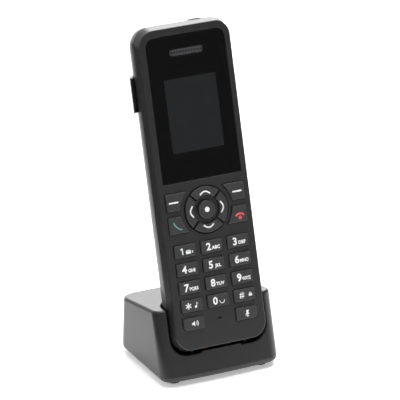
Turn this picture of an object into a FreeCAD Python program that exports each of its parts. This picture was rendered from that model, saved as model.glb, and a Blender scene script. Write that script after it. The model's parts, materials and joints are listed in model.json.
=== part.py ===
import FreeCAD, Part
import math
import os

# Cordless telephone handset standing in its charging cradle.
# Millimetres. +X is to the right of someone facing the keypad, +Y goes away from them, +Z is up.
# The origin is on the surface that the feet rest on, under the middle of the whole object's box.
#
# The handset is drawn upright in a frame of its own, then leant back into the cradle:
# x across it, y from its face plane backwards, z up along it from just below its bottom end.

V = FreeCAD.Vector

# ---- Handset: overall -------------------------------------------------------------------
handset_length = 166.4
handset_width = 52.5
handset_depth = 22.6
corner_radius = 9.0
bottom_end = 1.2            # height of the bottom end on the handset's own scale
lean_angle = 16.2
seat_height = 16.8          # zero of that scale, at the face plane, above the floor

# ---- Handset: casings -------------------------------------------------------------------
seam_depth = 5.0            # face plane to the seam between the two casings
face_wall = 2.0
side_wall = 1.8
face_inset = 0.9            # the face is this much narrower than the seam, each side
face_top_inset = 1.6        # and this much shorter at its top end
face_corner_radius = 8.1
face_edge_radius = 0.6
seam_groove = 0.3           # width and depth of the line between the casings
back_flat_half_width = 15.0
back_end_inset = 7.0        # the back is this much shorter than the seam, each end
back_sections = 6
front_liner_wall = 2.35     # side wall of the front casing at the seam

# ---- Window and earpiece ----------------------------------------------------------------
window_margin = 4.15        # from the handset's side to the window
window_bottom = 87.7
window_top_margin = 5.2     # from the handset's top end to the window
window_thickness = 1.2
window_edge_radius = 0.25
window_top_radius = 5.0
window_bottom_radius = 0.8
window_gap = 0.1
display_half_width = 14.4
display_height = 37.6
display_drop = 22.2         # from the window's top edge to the display
display_border = 0.8
display_frame = 2.6         # the module is this much larger than what shows
display_module_depth = 2.1
display_lamp_height = 4.0
display_lamp_depth = 1.2
ear_drop = 14.4             # from the handset's top end to the earpiece
ear_half_length = 9.4
ear_half_width = 1.5
ear_recess = 0.55
ear_grille_thickness = 0.6
ear_hole_count = 11
ear_hole_radius = 0.42
ear_hole_pitch = 1.63
ear_capsule_half_width = 8.5
ear_capsule_half_height = 3.6

# ---- Keys -------------------------------------------------------------------------------
key_rise = 0.8              # key tops stand this far in front of the face
select_rise = 1.1
key_gap = 0.28              # between a key and its pocket
key_travel = 0.35
key_edge_radius = 0.3
key_lip = 0.5               # the flange behind the face, all round the pocket
lip_clearance = 0.15
lip_thickness = 0.5
plunger_radius = 1.5
plunger_length = 0.35
press_clearance = 0.1       # left between plunger and mat at full travel
key_pitch_x = 14.9
key_pitch_z = 9.37
key_half_width = 6.15
key_height = 6.9
key_corner = 0.7
pad_rows = 4                # above the row with the speaker and mute keys
key_row_drop = 3.4          # from the direction ring to the first row of keys
bottom_key_radius = 2.8
nav_height = 72.0
nav_outer_radius = 12.1
nav_inner_radius = 7.1
nav_key_spacing = 1.1       # between neighbouring direction keys
nav_lip_spacing = 0.3       # between neighbouring flanges behind the face
nav_web_depth = 1.0         # the webs that hold the island are this far below the face
nav_bevel = 0.5
island_drop = 0.4
select_radius = 4.9
side_key_margin = 4.05      # from the handset's side to the soft, call and end keys
side_key_inner = 8.0
soft_key_bottom = 73.75
soft_key_top = 83.15
soft_key_gap = 2.65         # from the direction ring's pocket to a soft key
call_key_bottom = 62.1
call_key_top = 71.1
call_key_gap = 2.0
side_plunger_inset = 4.9    # from a side key's outer edge to its plunger
mic_drop = 3.22             # from the top of the lowest row of keys
mic_half_length = 0.95
mic_half_height = 0.45

# ---- Handset: inside --------------------------------------------------------------------
mat_thickness = 0.5
mat_margin = 3.85           # from the handset's side to the mat
mat_bottom = 9.6
mat_top = 86.4
mat_corner_radius = 2.0
mic_hole_gap = 0.4
dome_sheet_thickness = 0.28
dome_radius = 2.2
dome_ring_width = 0.35
dome_ring_depth = 0.12
stack_gap = 0.04
board_thickness = 1.2
board_margin = 4.25         # from the handset's side to the board
board_bottom = 10.0
board_end_margin = 3.6      # from the handset's top end to the board
board_corner_radius = 2.5
board_boss_gap = 0.5
boss_margin = 5.65          # from the handset's side to an upper screw
boss_drop = 19.6            # from the handset's top end to the upper screws
boss_bottom_margin = 8.85
boss_bottom_z = 6.9
boss_radius = 2.4
boss_split_depth = 7.0
boss_sink = 0.5
screw_radius = 0.9
screw_head_radius = 1.8
screw_head_height = 1.3
screw_hole_gap = 0.25
screw_seat_depth = 13.0
screw_tip_gap = 0.6
cross_half_length = 1.2
cross_half_width = 0.22
cross_depth = 0.7
shield_half_width = 16.0
shield_bottom = 104.0
shield_top = 134.0
shield_height = 2.2
shield_vent_radius = 0.7
shield_vent_pitch = 6.0
shield_vent_inset = 8.0
shield_skin = 0.6
antenna_half_width = 15.0
antenna_drop = 4.1          # from the handset's top end to the antenna
antenna_foot = 5.0
antenna_height = 5.0
antenna_wall = 1.0
speaker_radius = 10.0
speaker_drop = 17.6         # from the handset's top end to the speaker's middle
speaker_depth = 3.6
speaker_rim = 1.2
speaker_gap = 0.3
speaker_magnet_radius = 6.0
speaker_slot_count = 5
speaker_slot_pitch = 2.2
speaker_slot_half_length = 6.5
speaker_slot_half_width = 0.55
mic_capsule_radius = 3.0
mic_step = 0.8
mic_tail_radius = 2.4

# ---- Battery ----------------------------------------------------------------------------
cell_radius = 5.15
cell_length = 43.3
cell_nub_radius = 1.8
cell_nub_length = 1.0
cell_gap = 0.3
bay_wall = 1.1
bay_end_room = 4.2          # for the contacts at each end of the cells
bay_bottom = 38.0
contact_thickness = 0.4
contact_half_width = 4.0
spring_radius = 3.0
nub_spring_radius = 2.2
spring_taper = 0.7
cell_edge_radius = 0.5
door_wall = 1.7
door_gap = 0.2
door_margin = 2.9           # the door reaches this far past the bay, all round
door_ledge = 1.4            # the ledge under the door's edge reaches this far past it
door_ledge_wall = 1.2
door_rib_count = 5
door_rib_pitch = 2.0
door_rib_rise = 0.35
door_rib_start = 5.0        # from the door's lower end to its first rib
door_rib_half_length = 7.0
door_rib_step = 0.8         # each rib is this much shorter than the last, each side
door_rib_half_width = 0.45
door_corner_radius = 2.5

# ---- Belt clip --------------------------------------------------------------------------
clip_gap = 0.3
clip_wall = 1.8
clip_height = 18.0
clip_drop = 24.6            # from the handset's top end to the clip's
clip_front = 11.0           # the arms start this far behind the face plane
clip_arm_radius = 1.6       # on the arms' front corners, seen from the side
tongue_half_width = 13.0
tongue_length = 45.0
tongue_wall = 1.9
tongue_stand_off = 6.0      # clear gap between the handset's back and the tongue
tongue_root = 5.0
tongue_root_margin = 2.0
tongue_corner_radius = 6.0
tongue_edge_radius = 0.6
nib_height = 6.0
nib_front = 12.0
nib_back = 14.0
nib_reach = 0.4
nib_clearance = 0.15
overlap = 0.4               # how far two fused shapes run into each other

# ---- Sockets, contacts and light --------------------------------------------------------
jack_height = 99.0
jack_depth = 8.2
jack_radius = 1.8
jack_body_half = 2.6
jack_body_length = 12.0
jack_end_wall = 1.5
jack_way_gap = 0.6
jack_set_back = 1.4         # from the casing's inner side to the socket
cover_half_height = 5.0
cover_half_depth = 2.3
cover_thickness = 1.0
cover_plug_radius = 1.6
cover_plug_length = 3.0
cover_sink = 0.25           # the cover lies this far below the casing's side
cover_gap = 0.12
light_x = 10.0
light_half_width = 4.0
light_front = 6.2
light_back = 9.4
light_rise = 0.5
light_length = 4.0
light_radii = (0.6, 0.6, 2.2, 2.2)
light_gap = 0.1
pad_x = 6.0
pad_half_width = 2.2
pad_front = 8.0
pad_back = 12.0
pad_recess = 0.45           # from the handset's bottom end up to the pads
pad_gap = 0.05
pad_thickness = 1.6

# ---- Cradle -----------------------------------------------------------------------------
cradle_ear = 6.0            # from the pocket's side to the cradle's
cradle_rear = 57.4          # rear wall at its foot, behind the handset's face plane
rear_rake = 0.06
cradle_front_height = 39.0
top_fall_angle = 10.4
front_set_back = 3.0        # the handset's face stands this far in front of the cradle's
front_bow_radius = 480.0
front_corner_radius = 6.5
rear_corner_radius = 9.0
shell_bottom = 2.0
shell_wall = 2.0
top_wall = 2.2
top_edge_radius = 1.5
bottom_edge_radius = 2.6
rim_edge_radius = 0.7       # where the pocket breaks out through the cradle's outside
rim_room = 3.0              # blanks are this much taller than the cradle before they are cut
foot_rim_inset = 4.0
foot_rim_depth = 0.5
pocket_gap = 0.95
pocket_floor_gap = 1.65
pocket_wall = 1.8
pocket_height = 80.0
lip_half_width = 11.0
lip_rise = 0.5
lip_depth = 1.5
rest_x = 15.0               # ribs on the pocket's floor that the handset stands on
rest_half_width = 0.8
rest_front = 6.0
rest_back = 9.5
rest_gap = 0.1
base_gap = 0.15
base_bottom = 1.3
base_top = 3.3
cradle_boss_radius = 2.8
cradle_boss_margin = 16.1   # from the cradle's side to a screw
front_boss_y = 8.5
rear_boss_margin = 9.4      # from the rear wall's foot to the rear screws
cradle_screw_radius = 1.1
cradle_screw_length = 9.5
cradle_screw_head_radius = 2.4
cradle_screw_head_height = 1.3
cradle_screw_gap = 0.2
cradle_screw_tip_gap = 0.5
cradle_cross_half_length = 1.5
cradle_cross_half_width = 0.3
cradle_cross_depth = 0.9
foot_radius = 3.6
foot_sink = 0.5
foot_edge_radius = 0.4
foot_margin = 8.6           # from the cradle's side to a foot
front_foot_y = 8.2
rear_foot_margin = 9.8
cradle_contact_radius = 1.2
cradle_contact_flange = 2.0
cradle_contact_flange_top = -2.6
cradle_contact_flange_height = 1.0
cradle_contact_tail = 2.0
cradle_contact_tail_radius = 0.7
cradle_contact_travel = 0.8
contact_touch_gap = 0.05
contact_bore_gap = 0.15
carrier_half_width = 10.0
carrier_front = 6.4
carrier_back = 13.6
carrier_bottom = -7.4
carrier_gap = 0.05
cradle_board_half_width = 14.0
cradle_board_front = 33.5
cradle_board_level = 6.0
cradle_board_thickness = 1.6
board_gap = 0.3
inlet_half_width = 4.0
inlet_height = 2.9
inlet_length = 5.6
inlet_wall = 0.35
inlet_tongue_half_width = 1.9
inlet_tongue_height = 0.7
inlet_gap = 0.3
inlet_set_back = 0.6
inlet_back_wall = 1.0
inlet_tongue_set_back = 1.2
inlet_flare = 1.6           # the plug's clearance round the inlet
inlet_flare_depth = 0.7
post_radius = 2.0
post_x = 10.0
post_inset = 3.0            # from the board's front edge to the front posts
rear_post_margin = 7.4
ballast_margin = 12.2       # from the cradle's side to a bar's middle
ballast_half_width = 5.5
ballast_front = 13.5
ballast_rear_margin = 15.4
ballast_room = 1.07         # above the bars, under the pocket's lowest corner
ballast_chamfer = 0.5

# ---- Worked out from the values above ---------------------------------------------------
side_half_width = handset_width / 2
top_end = bottom_end + handset_length
lean = math.radians(lean_angle)
window_half_width = side_half_width - window_margin
window_top = top_end - window_top_margin
display_top = window_top - display_drop
display_bottom = display_top - display_height
ear_height = top_end - ear_drop
side_key_outer = side_half_width - side_key_margin
side_plunger_x = side_key_outer - side_plunger_inset
soft_key_arc = nav_outer_radius + soft_key_gap
call_key_arc = nav_outer_radius + call_key_gap
mat_half_width = side_half_width - mat_margin
board_half_width = side_half_width - board_margin
board_top = top_end - board_end_margin
boss_x = side_half_width - boss_margin
boss_top_z = top_end - boss_drop
boss_bottom_x = side_half_width - boss_bottom_margin
antenna_top = top_end - antenna_drop
antenna_bottom = antenna_top - antenna_foot
speaker_height = top_end - speaker_drop
clip_top = top_end - clip_drop
clip_bottom = clip_top - clip_height
tongue_bottom = clip_top - tongue_length
pad_level = bottom_end + pad_recess
lip_front = face_wall + lip_clearance
lip_back = lip_front + lip_thickness
plunger_end = lip_back + plunger_length
mat_front = plunger_end + key_travel + press_clearance
dome_front = mat_front + mat_thickness + stack_gap
board_front = dome_front + dome_sheet_thickness + stack_gap
board_back = board_front + board_thickness
nav_mid_radius = (nav_outer_radius + nav_inner_radius) / 2
key_row_top = nav_height - nav_outer_radius - key_row_drop
bottom_row_top = key_row_top - pad_rows * key_pitch_z
mic_height = bottom_row_top - mic_drop
bay_half_width = 2 * cell_radius + 1.5 * cell_gap
bay_top = bay_bottom + cell_length + cell_nub_length + 2 * bay_end_room
bay_floor = handset_depth - door_wall - 2 * cell_radius - 2 * cell_gap
cell_axis_depth = handset_depth - door_wall - cell_gap - cell_radius
cell_bottom = bay_bottom + bay_end_room
door_half_width = bay_half_width + door_margin
door_bottom = bay_bottom - door_margin
door_top = bay_top + door_margin
tongue_front = handset_depth + tongue_stand_off
pocket_floor = bottom_end - pocket_floor_gap
cradle_half_width = side_half_width + pocket_gap + cradle_ear
pocket_lowest = (seat_height + (pocket_floor - pocket_wall) * math.cos(lean)
                 - (handset_depth + pocket_gap + pocket_wall) * math.sin(lean))
ballast_height = pocket_lowest - base_top - ballast_room
cradle_board_top = cradle_board_level + cradle_board_thickness
cover_seat_x = side_half_width - cover_thickness - cover_sink
far = 300.0


# ---- Plain shapes -----------------------------------------------------------------------
def slab(half_width, y0, y1, z0, z1, x=0.0):
    """Box centred on x."""
    return Part.makeBox(2 * half_width, y1 - y0, z1 - z0, V(x - half_width, y0, z0))


def rod(radius, start, end):
    """Cylinder from one point to another."""
    return Part.makeCylinder(radius, (end - start).Length, start, end - start)


def rounded_wire(half_width, z0, z1, radii, y, x=0.0):
    """Rectangle seen from the front, with its corners rounded.

    radii run bottom left, bottom right, top right, top left.
    """
    corners = []
    for (sx, sz), radius in zip(((-1, -1), (1, -1), (1, 1), (-1, 1)), radii):
        middle = V(x + sx * (half_width - radius), y, (z0 + radius) if sz < 0 else (z1 - radius))
        across = V(sx * radius, 0, 0)
        along = V(0, 0, sz * radius)
        bend = middle + (across + along) * math.sqrt(0.5)
        ends = [middle + across, middle + along]
        if sx != sz:
            ends.reverse()
        corners.append((ends[0], bend, ends[1]))
    edges = []
    for index, (start, bend, stop) in enumerate(corners):
        edges.append(Part.Arc(start, bend, stop).toShape())
        edges.append(Part.makeLine(stop, corners[(index + 1) % 4][0]))
    return Part.Wire(edges)


def plate(half_width, z0, z1, radii, y0, y1, x=0.0):
    """Rounded rectangle seen from the front, from depth y0 to y1."""
    if not isinstance(radii, tuple):
        radii = (radii, radii, radii, radii)
    face = Part.Face(rounded_wire(half_width, z0, z1, radii, y0, x))
    return face.extrude(V(0, y1 - y0, 0))


def front_edges(shape, y):
    """Edges of a shape that lie in the plane at depth y."""
    return [e for e in shape.Edges if all(abs(v.Y - y) < 1e-5 for v in e.Vertexes)
            and abs(e.CenterOfMass.y - y) < 1e-5]


def level_edges(shape, z):
    """Edges of a shape that lie at height z."""
    return [e for e in shape.Edges if all(abs(v.Z - z) < 1e-5 for v in e.Vertexes)
            and abs(e.CenterOfMass.z - z) < 1e-5]


def fused(first, others):
    """One solid out of several that touch."""
    return first.multiFuse(others).removeSplitter()


def seat(shape):
    """Lean an upright handset shape back, into its place in the cradle."""
    placed = shape.copy()
    placed.rotate(V(0, 0, 0), V(1, 0, 0), -lean_angle)
    placed.translate(V(0, 0, seat_height))
    return placed


# ---- Handset outside --------------------------------------------------------------------
def front_form():
    """Outside of the front casing: widest at the seam, with an eased edge round the face."""
    face = rounded_wire(side_half_width - face_inset, bottom_end + face_inset,
                        top_end - face_top_inset, (face_corner_radius,) * 4, 0.0)
    seam = rounded_wire(side_half_width, bottom_end, top_end, (corner_radius,) * 4, seam_depth)
    form = Part.makeLoft([face, seam], True, True)
    return form.makeFillet(face_edge_radius, front_edges(form, 0.0))


def rear_form(grow):
    """Outside of the rear casing, grown all round: sides and ends curve in to a flat back."""
    wires = []
    for step in range(back_sections + 1):
        turn = math.radians(90.0 * step / back_sections)
        y = seam_depth + (handset_depth + grow - seam_depth) * math.sin(turn)
        reach = side_half_width + grow - back_flat_half_width
        half_width = back_flat_half_width + reach * math.cos(turn)
        inset = back_end_inset - (back_end_inset + grow) * math.cos(turn)
        wires.append(rounded_wire(half_width, bottom_end + inset, top_end - inset,
                                  (corner_radius + grow,) * 4, y))
    return Part.makeLoft(wires, True, False)


def case_half_width(y):
    """Half the rear casing's width at depth y."""
    turn = math.asin((y - seam_depth) / (handset_depth - seam_depth))
    return back_flat_half_width + (side_half_width - back_flat_half_width) * math.cos(turn)


def plan_prism(grow, y_front, z0, z1):
    """The handset's section seen from above, grown, drawn out along its length."""
    depth = handset_depth + grow
    half_width = side_half_width + grow
    rise = depth - seam_depth
    reach = half_width - back_flat_half_width
    curve = Part.Ellipse(V(0, 0, z0), max(rise, reach), min(rise, reach))
    quarter = Part.Arc(curve, 0.0, math.pi / 2).toShape()
    if rise > reach:
        quarter.rotate(V(0, 0, z0), V(0, 0, 1), 90)
        quarter = quarter.mirror(V(0, 0, z0), V(1, 0, 0))
    right = quarter.copy()
    right.translate(V(back_flat_half_width, seam_depth, 0))
    left = right.mirror(V(0, 0, 0), V(1, 0, 0))
    corners = (V(-back_flat_half_width, depth, z0), V(back_flat_half_width, depth, z0),
               V(half_width, seam_depth, z0), V(half_width, y_front, z0),
               V(-half_width, y_front, z0), V(-half_width, seam_depth, z0))
    lines = [Part.makeLine(corners[0], corners[1]), Part.makeLine(corners[2], corners[3]),
             Part.makeLine(corners[3], corners[4]), Part.makeLine(corners[4], corners[5])]
    wire = Part.Wire(Part.__sortEdges__(lines + [right, left]))
    return Part.Face(wire).extrude(V(0, 0, z1 - z0))


# ---- Key outlines: each gives a prism, grown all round, from depth y0 to y1 --------------
def grown(radii, grow):
    return tuple(max(radius + grow, 0.1) for radius in radii)


def pad_key_outline(column, row_top, radii):
    """Outline of one key of the number pad; column is -1, 0 or 1."""
    def outline(grow, y0, y1):
        return plate(key_half_width + grow, row_top - key_height - grow, row_top + grow,
                     grown(radii, grow), y0, y1, column * key_pitch_x)
    return outline


def side_key_outline(side, z0, z1, arc):
    """Outline of a key beside the direction ring; side is -1 or 1."""
    middle = side * (side_key_outer + side_key_inner) / 2

    def outline(grow, y0, y1):
        half_width = (side_key_outer - side_key_inner) / 2
        blank = plate(half_width + grow, z0 - grow, z1 + grow,
                      grown((key_corner,) * 4, grow), y0, y1, middle)
        return blank.cut(rod(arc - grow, V(0, y0 - 1, nav_height), V(0, y1 + 1, nav_height)))
    return outline


def nav_key_outline(quarter_turns):
    """Outline of one direction key; 0 is up, and each quarter turn goes clockwise."""
    def outline(grow, y0, y1):
        axis = (V(0, y0, nav_height), V(0, y1, nav_height))
        ring = rod(nav_outer_radius + grow, *axis).cut(rod(nav_inner_radius - grow, *axis))
        apart = max(nav_key_spacing - 2 * (grow + key_gap), nav_lip_spacing)
        tip = apart / math.sqrt(2)
        points = [V(0, y0, tip), V(far, y0, far + tip), V(-far, y0, far + tip), V(0, y0, tip)]
        wedge = Part.Face(Part.makePolygon(points)).extrude(V(0, y1 - y0, 0))
        wedge.rotate(V(0, 0, 0), V(0, 1, 0), 90 * quarter_turns)
        wedge.translate(V(0, 0, nav_height))
        return ring.common(wedge)
    return outline


def select_key_outline(grow, y0, y1):
    return rod(select_radius + grow, V(0, y0, nav_height), V(0, y1, nav_height))


def all_keys():
    """Every key: name, outline, height above the face, and where its plunger stands."""
    keys = []
    names = (("key_1", "key_2", "key_3"), ("key_4", "key_5", "key_6"),
             ("key_7", "key_8", "key_9"), ("key_star", "key_0", "key_hash"))
    square = (key_corner,) * 4
    for row, row_names in enumerate(names):
        row_top = key_row_top - row * key_pitch_z
        for column, name in zip((-1, 0, 1), row_names):
            keys.append((name, pad_key_outline(column, row_top, square), key_rise,
                         (column * key_pitch_x, row_top - key_height / 2)))
    round_left = (bottom_key_radius, key_corner, key_corner, key_corner)
    round_right = (key_corner, bottom_key_radius, key_corner, key_corner)
    for name, column, radii in (("speaker_key", -1, round_left), ("mute_key", 1, round_right)):
        keys.append((name, pad_key_outline(column, bottom_row_top, radii), key_rise,
                     (column * key_pitch_x, bottom_row_top - key_height / 2)))
    for name, side, z0, z1, arc in (
            ("soft_key_left", -1, soft_key_bottom, soft_key_top, soft_key_arc),
            ("soft_key_right", 1, soft_key_bottom, soft_key_top, soft_key_arc),
            ("call_key", -1, call_key_bottom, call_key_top, call_key_arc),
            ("end_key", 1, call_key_bottom, call_key_top, call_key_arc)):
        keys.append((name, side_key_outline(side, z0, z1, arc), key_rise,
                     (side * side_plunger_x, (z0 + z1) / 2)))
    for turns, name in enumerate(("nav_up_key", "nav_right_key", "nav_down_key", "nav_left_key")):
        angle = math.radians(90 * turns)
        keys.append((name, nav_key_outline(turns), key_rise,
                     (nav_mid_radius * math.sin(angle),
                      nav_height + nav_mid_radius * math.cos(angle))))
    keys.append(("select_key", select_key_outline, select_rise, (0.0, nav_height)))
    return keys


def key_solid(outline, rise, plunger):
    """A key cap, the flange that keeps it behind the face, and the plunger on its back."""
    cap = outline(-key_gap, -rise, lip_front)
    cap = cap.makeFillet(key_edge_radius, front_edges(cap, -rise))
    flange = outline(key_lip, lip_front, lip_back)
    x, z = plunger
    return fused(cap, [flange, rod(plunger_radius, V(x, lip_back, z), V(x, plunger_end, z))])


# ---- Front casing and what shows in it --------------------------------------------------
def window_outline(grow, y0, y1):
    radii = (window_bottom_radius, window_bottom_radius, window_top_radius, window_top_radius)
    return plate(window_half_width + grow, window_bottom - grow, window_top + grow,
                 grown(radii, grow), y0, y1)


def ear_outline(grow, y0, y1):
    radius = ear_half_width + grow - 0.05
    return plate(ear_half_length + grow, ear_height - ear_half_width - grow,
                 ear_height + ear_half_width + grow, radius, y0, y1)


def nav_pocket():
    """Ring-shaped pocket for the direction keys, crossed low down by four webs."""
    def ring(outer, inner, y0, y1):
        axis = (V(0, y0, nav_height), V(0, y1, nav_height))
        return rod(outer, *axis).cut(rod(inner, *axis))
    web = nav_key_spacing - 2 * key_gap
    low = ring(nav_outer_radius, nav_inner_radius, nav_web_depth, face_wall + 1)
    for angle in (45, 135):
        bar = slab(far, nav_web_depth, face_wall + 1, -web / 2, web / 2)
        bar.rotate(V(0, 0, 0), V(0, 1, 0), angle)
        bar.translate(V(0, 0, nav_height))
        low = low.cut(bar)
    bevel = Part.makeCone(nav_outer_radius + nav_bevel, nav_outer_radius, nav_bevel,
                          V(0, 0, nav_height), V(0, 1, 0))
    high = rod(nav_outer_radius, V(0, -1, nav_height), V(0, nav_web_depth, nav_height))
    island = rod(nav_inner_radius, V(0, island_drop, nav_height), V(0, far, nav_height))
    return fused(high, [bevel]).cut(island).multiFuse([low])


def boss_places():
    return ((-boss_x, boss_top_z), (boss_x, boss_top_z),
            (-boss_bottom_x, boss_bottom_z), (boss_bottom_x, boss_bottom_z))


def front_case():
    case = front_form()
    inner = plate(side_half_width - front_liner_wall, bottom_end + front_liner_wall,
                  top_end - front_liner_wall, corner_radius - front_liner_wall,
                  face_wall, seam_depth + 1)
    case = case.cut(inner)
    bosses = [rod(boss_radius, V(x, face_wall - boss_sink, z), V(x, boss_split_depth, z))
              for x, z in boss_places()]
    case = fused(case, bosses)
    holes = [rod(screw_radius, V(x, face_wall, z), V(x, far, z)) for x, z in boss_places()]
    cuts = [window_outline(window_gap, -1.0, window_thickness + window_gap)]
    cuts.append(plate(display_half_width + display_border, display_bottom - display_border,
                      display_top + display_border, display_border, -1.0, far))
    cuts.append(ear_outline(0.0, -1.0, far))
    cuts.append(plate(mic_half_length, mic_height - mic_half_height,
                      mic_height + mic_half_height, mic_half_height - 0.02, -1.0, far))
    for name, outline, rise, place in all_keys():
        if not name.startswith("nav"):
            cuts.append(outline(0.0, -1.0, far))
    return case.cut(holes + cuts).cut(nav_pocket())


def display_window():
    """Black-bordered clear window, with the slot over the earpiece."""
    pane = window_outline(0.0, 0.0, window_thickness).cut(ear_outline(0.0, -1.0, far))
    return pane.makeFillet(window_edge_radius, front_edges(pane, 0.0))


def earpiece_grille():
    """Perforated strip set in the window's slot."""
    strip = ear_outline(-window_gap, ear_recess, ear_recess + ear_grille_thickness)
    holes = []
    for index in range(ear_hole_count):
        x = (index - (ear_hole_count - 1) / 2) * ear_hole_pitch
        holes.append(rod(ear_hole_radius, V(x, -1, ear_height), V(x, far, ear_height)))
    return strip.cut(holes)


def display_module():
    """Liquid crystal display in its frame, behind the window."""
    half_width = display_half_width + display_frame
    z0 = display_bottom - display_frame
    z1 = display_top + display_frame
    frame = plate(half_width, z0, z1, 0.6, face_wall + stack_gap,
                  face_wall + display_module_depth)
    lamp = slab(display_half_width, face_wall + stack_gap, face_wall + display_lamp_depth,
                z0 - display_lamp_height, z0)
    return fused(frame, [lamp])


def earpiece():
    """Receiver capsule behind the slot."""
    body = plate(ear_capsule_half_width, ear_height - ear_capsule_half_height,
                 ear_height + ear_capsule_half_height, ear_capsule_half_height - 0.1,
                 face_wall + stack_gap, board_front - stack_gap)
    return body


def microphone():
    """Microphone capsule in its boot, behind the small hole by the last row of keys."""
    start = V(0, face_wall + stack_gap, mic_height)
    middle = V(0, board_front - mic_step, mic_height)
    capsule = rod(mic_capsule_radius, start, middle)
    return fused(capsule, [rod(mic_tail_radius, middle,
                               V(0, board_front - stack_gap, mic_height))])


# ---- Keypad stack and board -------------------------------------------------------------
def sheet_with_mic_hole(y0, y1):
    sheet = plate(mat_half_width, mat_bottom, mat_top, mat_corner_radius, y0, y1)
    return sheet.cut(rod(mic_capsule_radius + mic_hole_gap, V(0, y0 - 1, mic_height),
                         V(0, y1 + 1, mic_height)))


def keypad_mat():
    """Rubber sheet that the keys press."""
    return sheet_with_mic_hole(mat_front, mat_front + mat_thickness)


def dome_sheet():
    """Film with a metal snap dome under every key."""
    film = sheet_with_mic_hole(dome_front, dome_front + dome_sheet_thickness)
    cuts = []
    for name, outline, rise, (x, z) in all_keys():
        ring = rod(dome_radius, V(x, dome_front - 1, z), V(x, dome_front + dome_ring_depth, z))
        cuts.append(ring.cut(rod(dome_radius - dome_ring_width, V(x, -1, z), V(x, far, z))))
    return film.cut(cuts)


def main_board():
    board = plate(board_half_width, board_bottom, board_top, board_corner_radius,
                  board_front, board_back)
    notches = [rod(boss_radius + board_boss_gap, V(x, board_front - 1, z), V(x, board_back + 1, z))
               for x, z in boss_places()]
    return board.cut(notches)


def shield_can():
    """Folded sheet-metal can over the radio circuit."""
    can = plate(shield_half_width, shield_bottom, shield_top, 1.0, board_back + stack_gap,
                board_back + shield_height)
    vents = [rod(shield_vent_radius, V(column * shield_vent_pitch, can.BoundBox.YMax - shield_skin, z),
                 V(column * shield_vent_pitch, far, z))
             for column in (-1.5, -0.5, 0.5, 1.5)
             for z in (shield_bottom + shield_vent_inset, shield_top - shield_vent_inset)]
    return can.cut(vents)


def antenna():
    """Bent sheet antenna on its plastic carrier, across the top of the board."""
    foot = slab(antenna_half_width, board_back + stack_gap, board_back + antenna_wall,
                antenna_bottom, antenna_top)
    wall = slab(antenna_half_width, board_back + stack_gap, board_back + antenna_height,
                antenna_top - antenna_wall, antenna_top)
    return fused(foot, [wall])


# ---- Rear casing, battery and door ------------------------------------------------------
def door_region(grow):
    """Block over the back, as wide and as long as the door, grown all round."""
    return plate(door_half_width + grow, door_bottom - grow, door_top + grow,
                 door_corner_radius + grow, seam_depth, far)


def battery_bay():
    """Tray for the cells, with a ledge under the door's edge."""
    box = slab(bay_half_width + bay_wall, bay_floor - bay_wall, far,
               bay_bottom - bay_wall, bay_top + bay_wall)
    seat_form = rear_form(-door_wall - door_gap)
    ledge = rear_form(-side_wall / 2).cut(rear_form(-door_wall - door_gap - door_ledge_wall))
    ledge = ledge.common(door_region(door_ledge))
    return [box.common(seat_form), ledge]


def seam_line():
    """Ring cut from the rear casing's edge, which shows as a fine line between the casings."""
    y1 = seam_depth + seam_groove
    around = plate(side_half_width + 1, bottom_end - 1, top_end + 1, corner_radius, seam_depth, y1)
    kept = plate(side_half_width - seam_groove, bottom_end + seam_groove, top_end - seam_groove,
                 corner_radius - seam_groove, seam_depth, y1)
    return around.cut(kept)


def rear_case():
    outer = rear_form(0.0)
    case = outer.cut(rear_form(-side_wall))
    bosses = []
    for x, z in boss_places():
        bosses.append(rod(boss_radius, V(x, boss_split_depth + stack_gap, z), V(x, far, z)))
    bosses = [boss.common(outer) for boss in bosses]
    case = fused(case, battery_bay() + bosses)
    cuts = [door_region(door_gap).cut(rear_form(-door_wall - door_gap))]
    cuts.append(slab(bay_half_width, bay_floor, far, bay_bottom, bay_top))
    for x, z in boss_places():
        hole = screw_radius + screw_hole_gap
        cuts.append(rod(hole, V(x, 0, z), V(x, far, z)))
        cuts.append(rod(screw_head_radius + screw_hole_gap, V(x, screw_seat_depth, z),
                        V(x, far, z)))
    for index in range(speaker_slot_count):
        z = speaker_height + (index - (speaker_slot_count - 1) / 2) * speaker_slot_pitch
        cuts.append(plate(speaker_slot_half_length, z - speaker_slot_half_width,
                          z + speaker_slot_half_width, speaker_slot_half_width - 0.05,
                          handset_depth - 2 * side_wall, far))
    for side in (-1, 1):
        cuts.append(clip_nib(side, nib_clearance, far))
        cuts.append(slab(pad_half_width, pad_front, pad_back, bottom_end - 1,
                         pad_level + pad_thickness, side * pad_x))
    return case.cut(cuts + [jack_cover_recess(), light_pipe_block(light_gap), seam_line()])


def battery_cells():
    """Two AAA rechargeable cells, side by side and end for end."""
    cells = []
    for side in (-1, 1):
        x = side * (cell_radius + cell_gap / 2)
        can = rod(cell_radius, V(x, cell_axis_depth, cell_bottom),
                  V(x, cell_axis_depth, cell_bottom + cell_length))
        can = can.makeFillet(cell_edge_radius, can.Edges)
        top = cell_bottom + cell_length
        nub = rod(cell_nub_radius, V(x, cell_axis_depth, top - overlap),
                  V(x, cell_axis_depth, top + cell_nub_length))
        cell = fused(can, [nub])
        if side > 0:
            middle = V(x, cell_axis_depth, cell_bottom + (cell_length + cell_nub_length) / 2)
            cell.rotate(middle, V(0, 1, 0), 180)
        cells.append(cell)
    return Part.makeCompound(cells)


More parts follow.
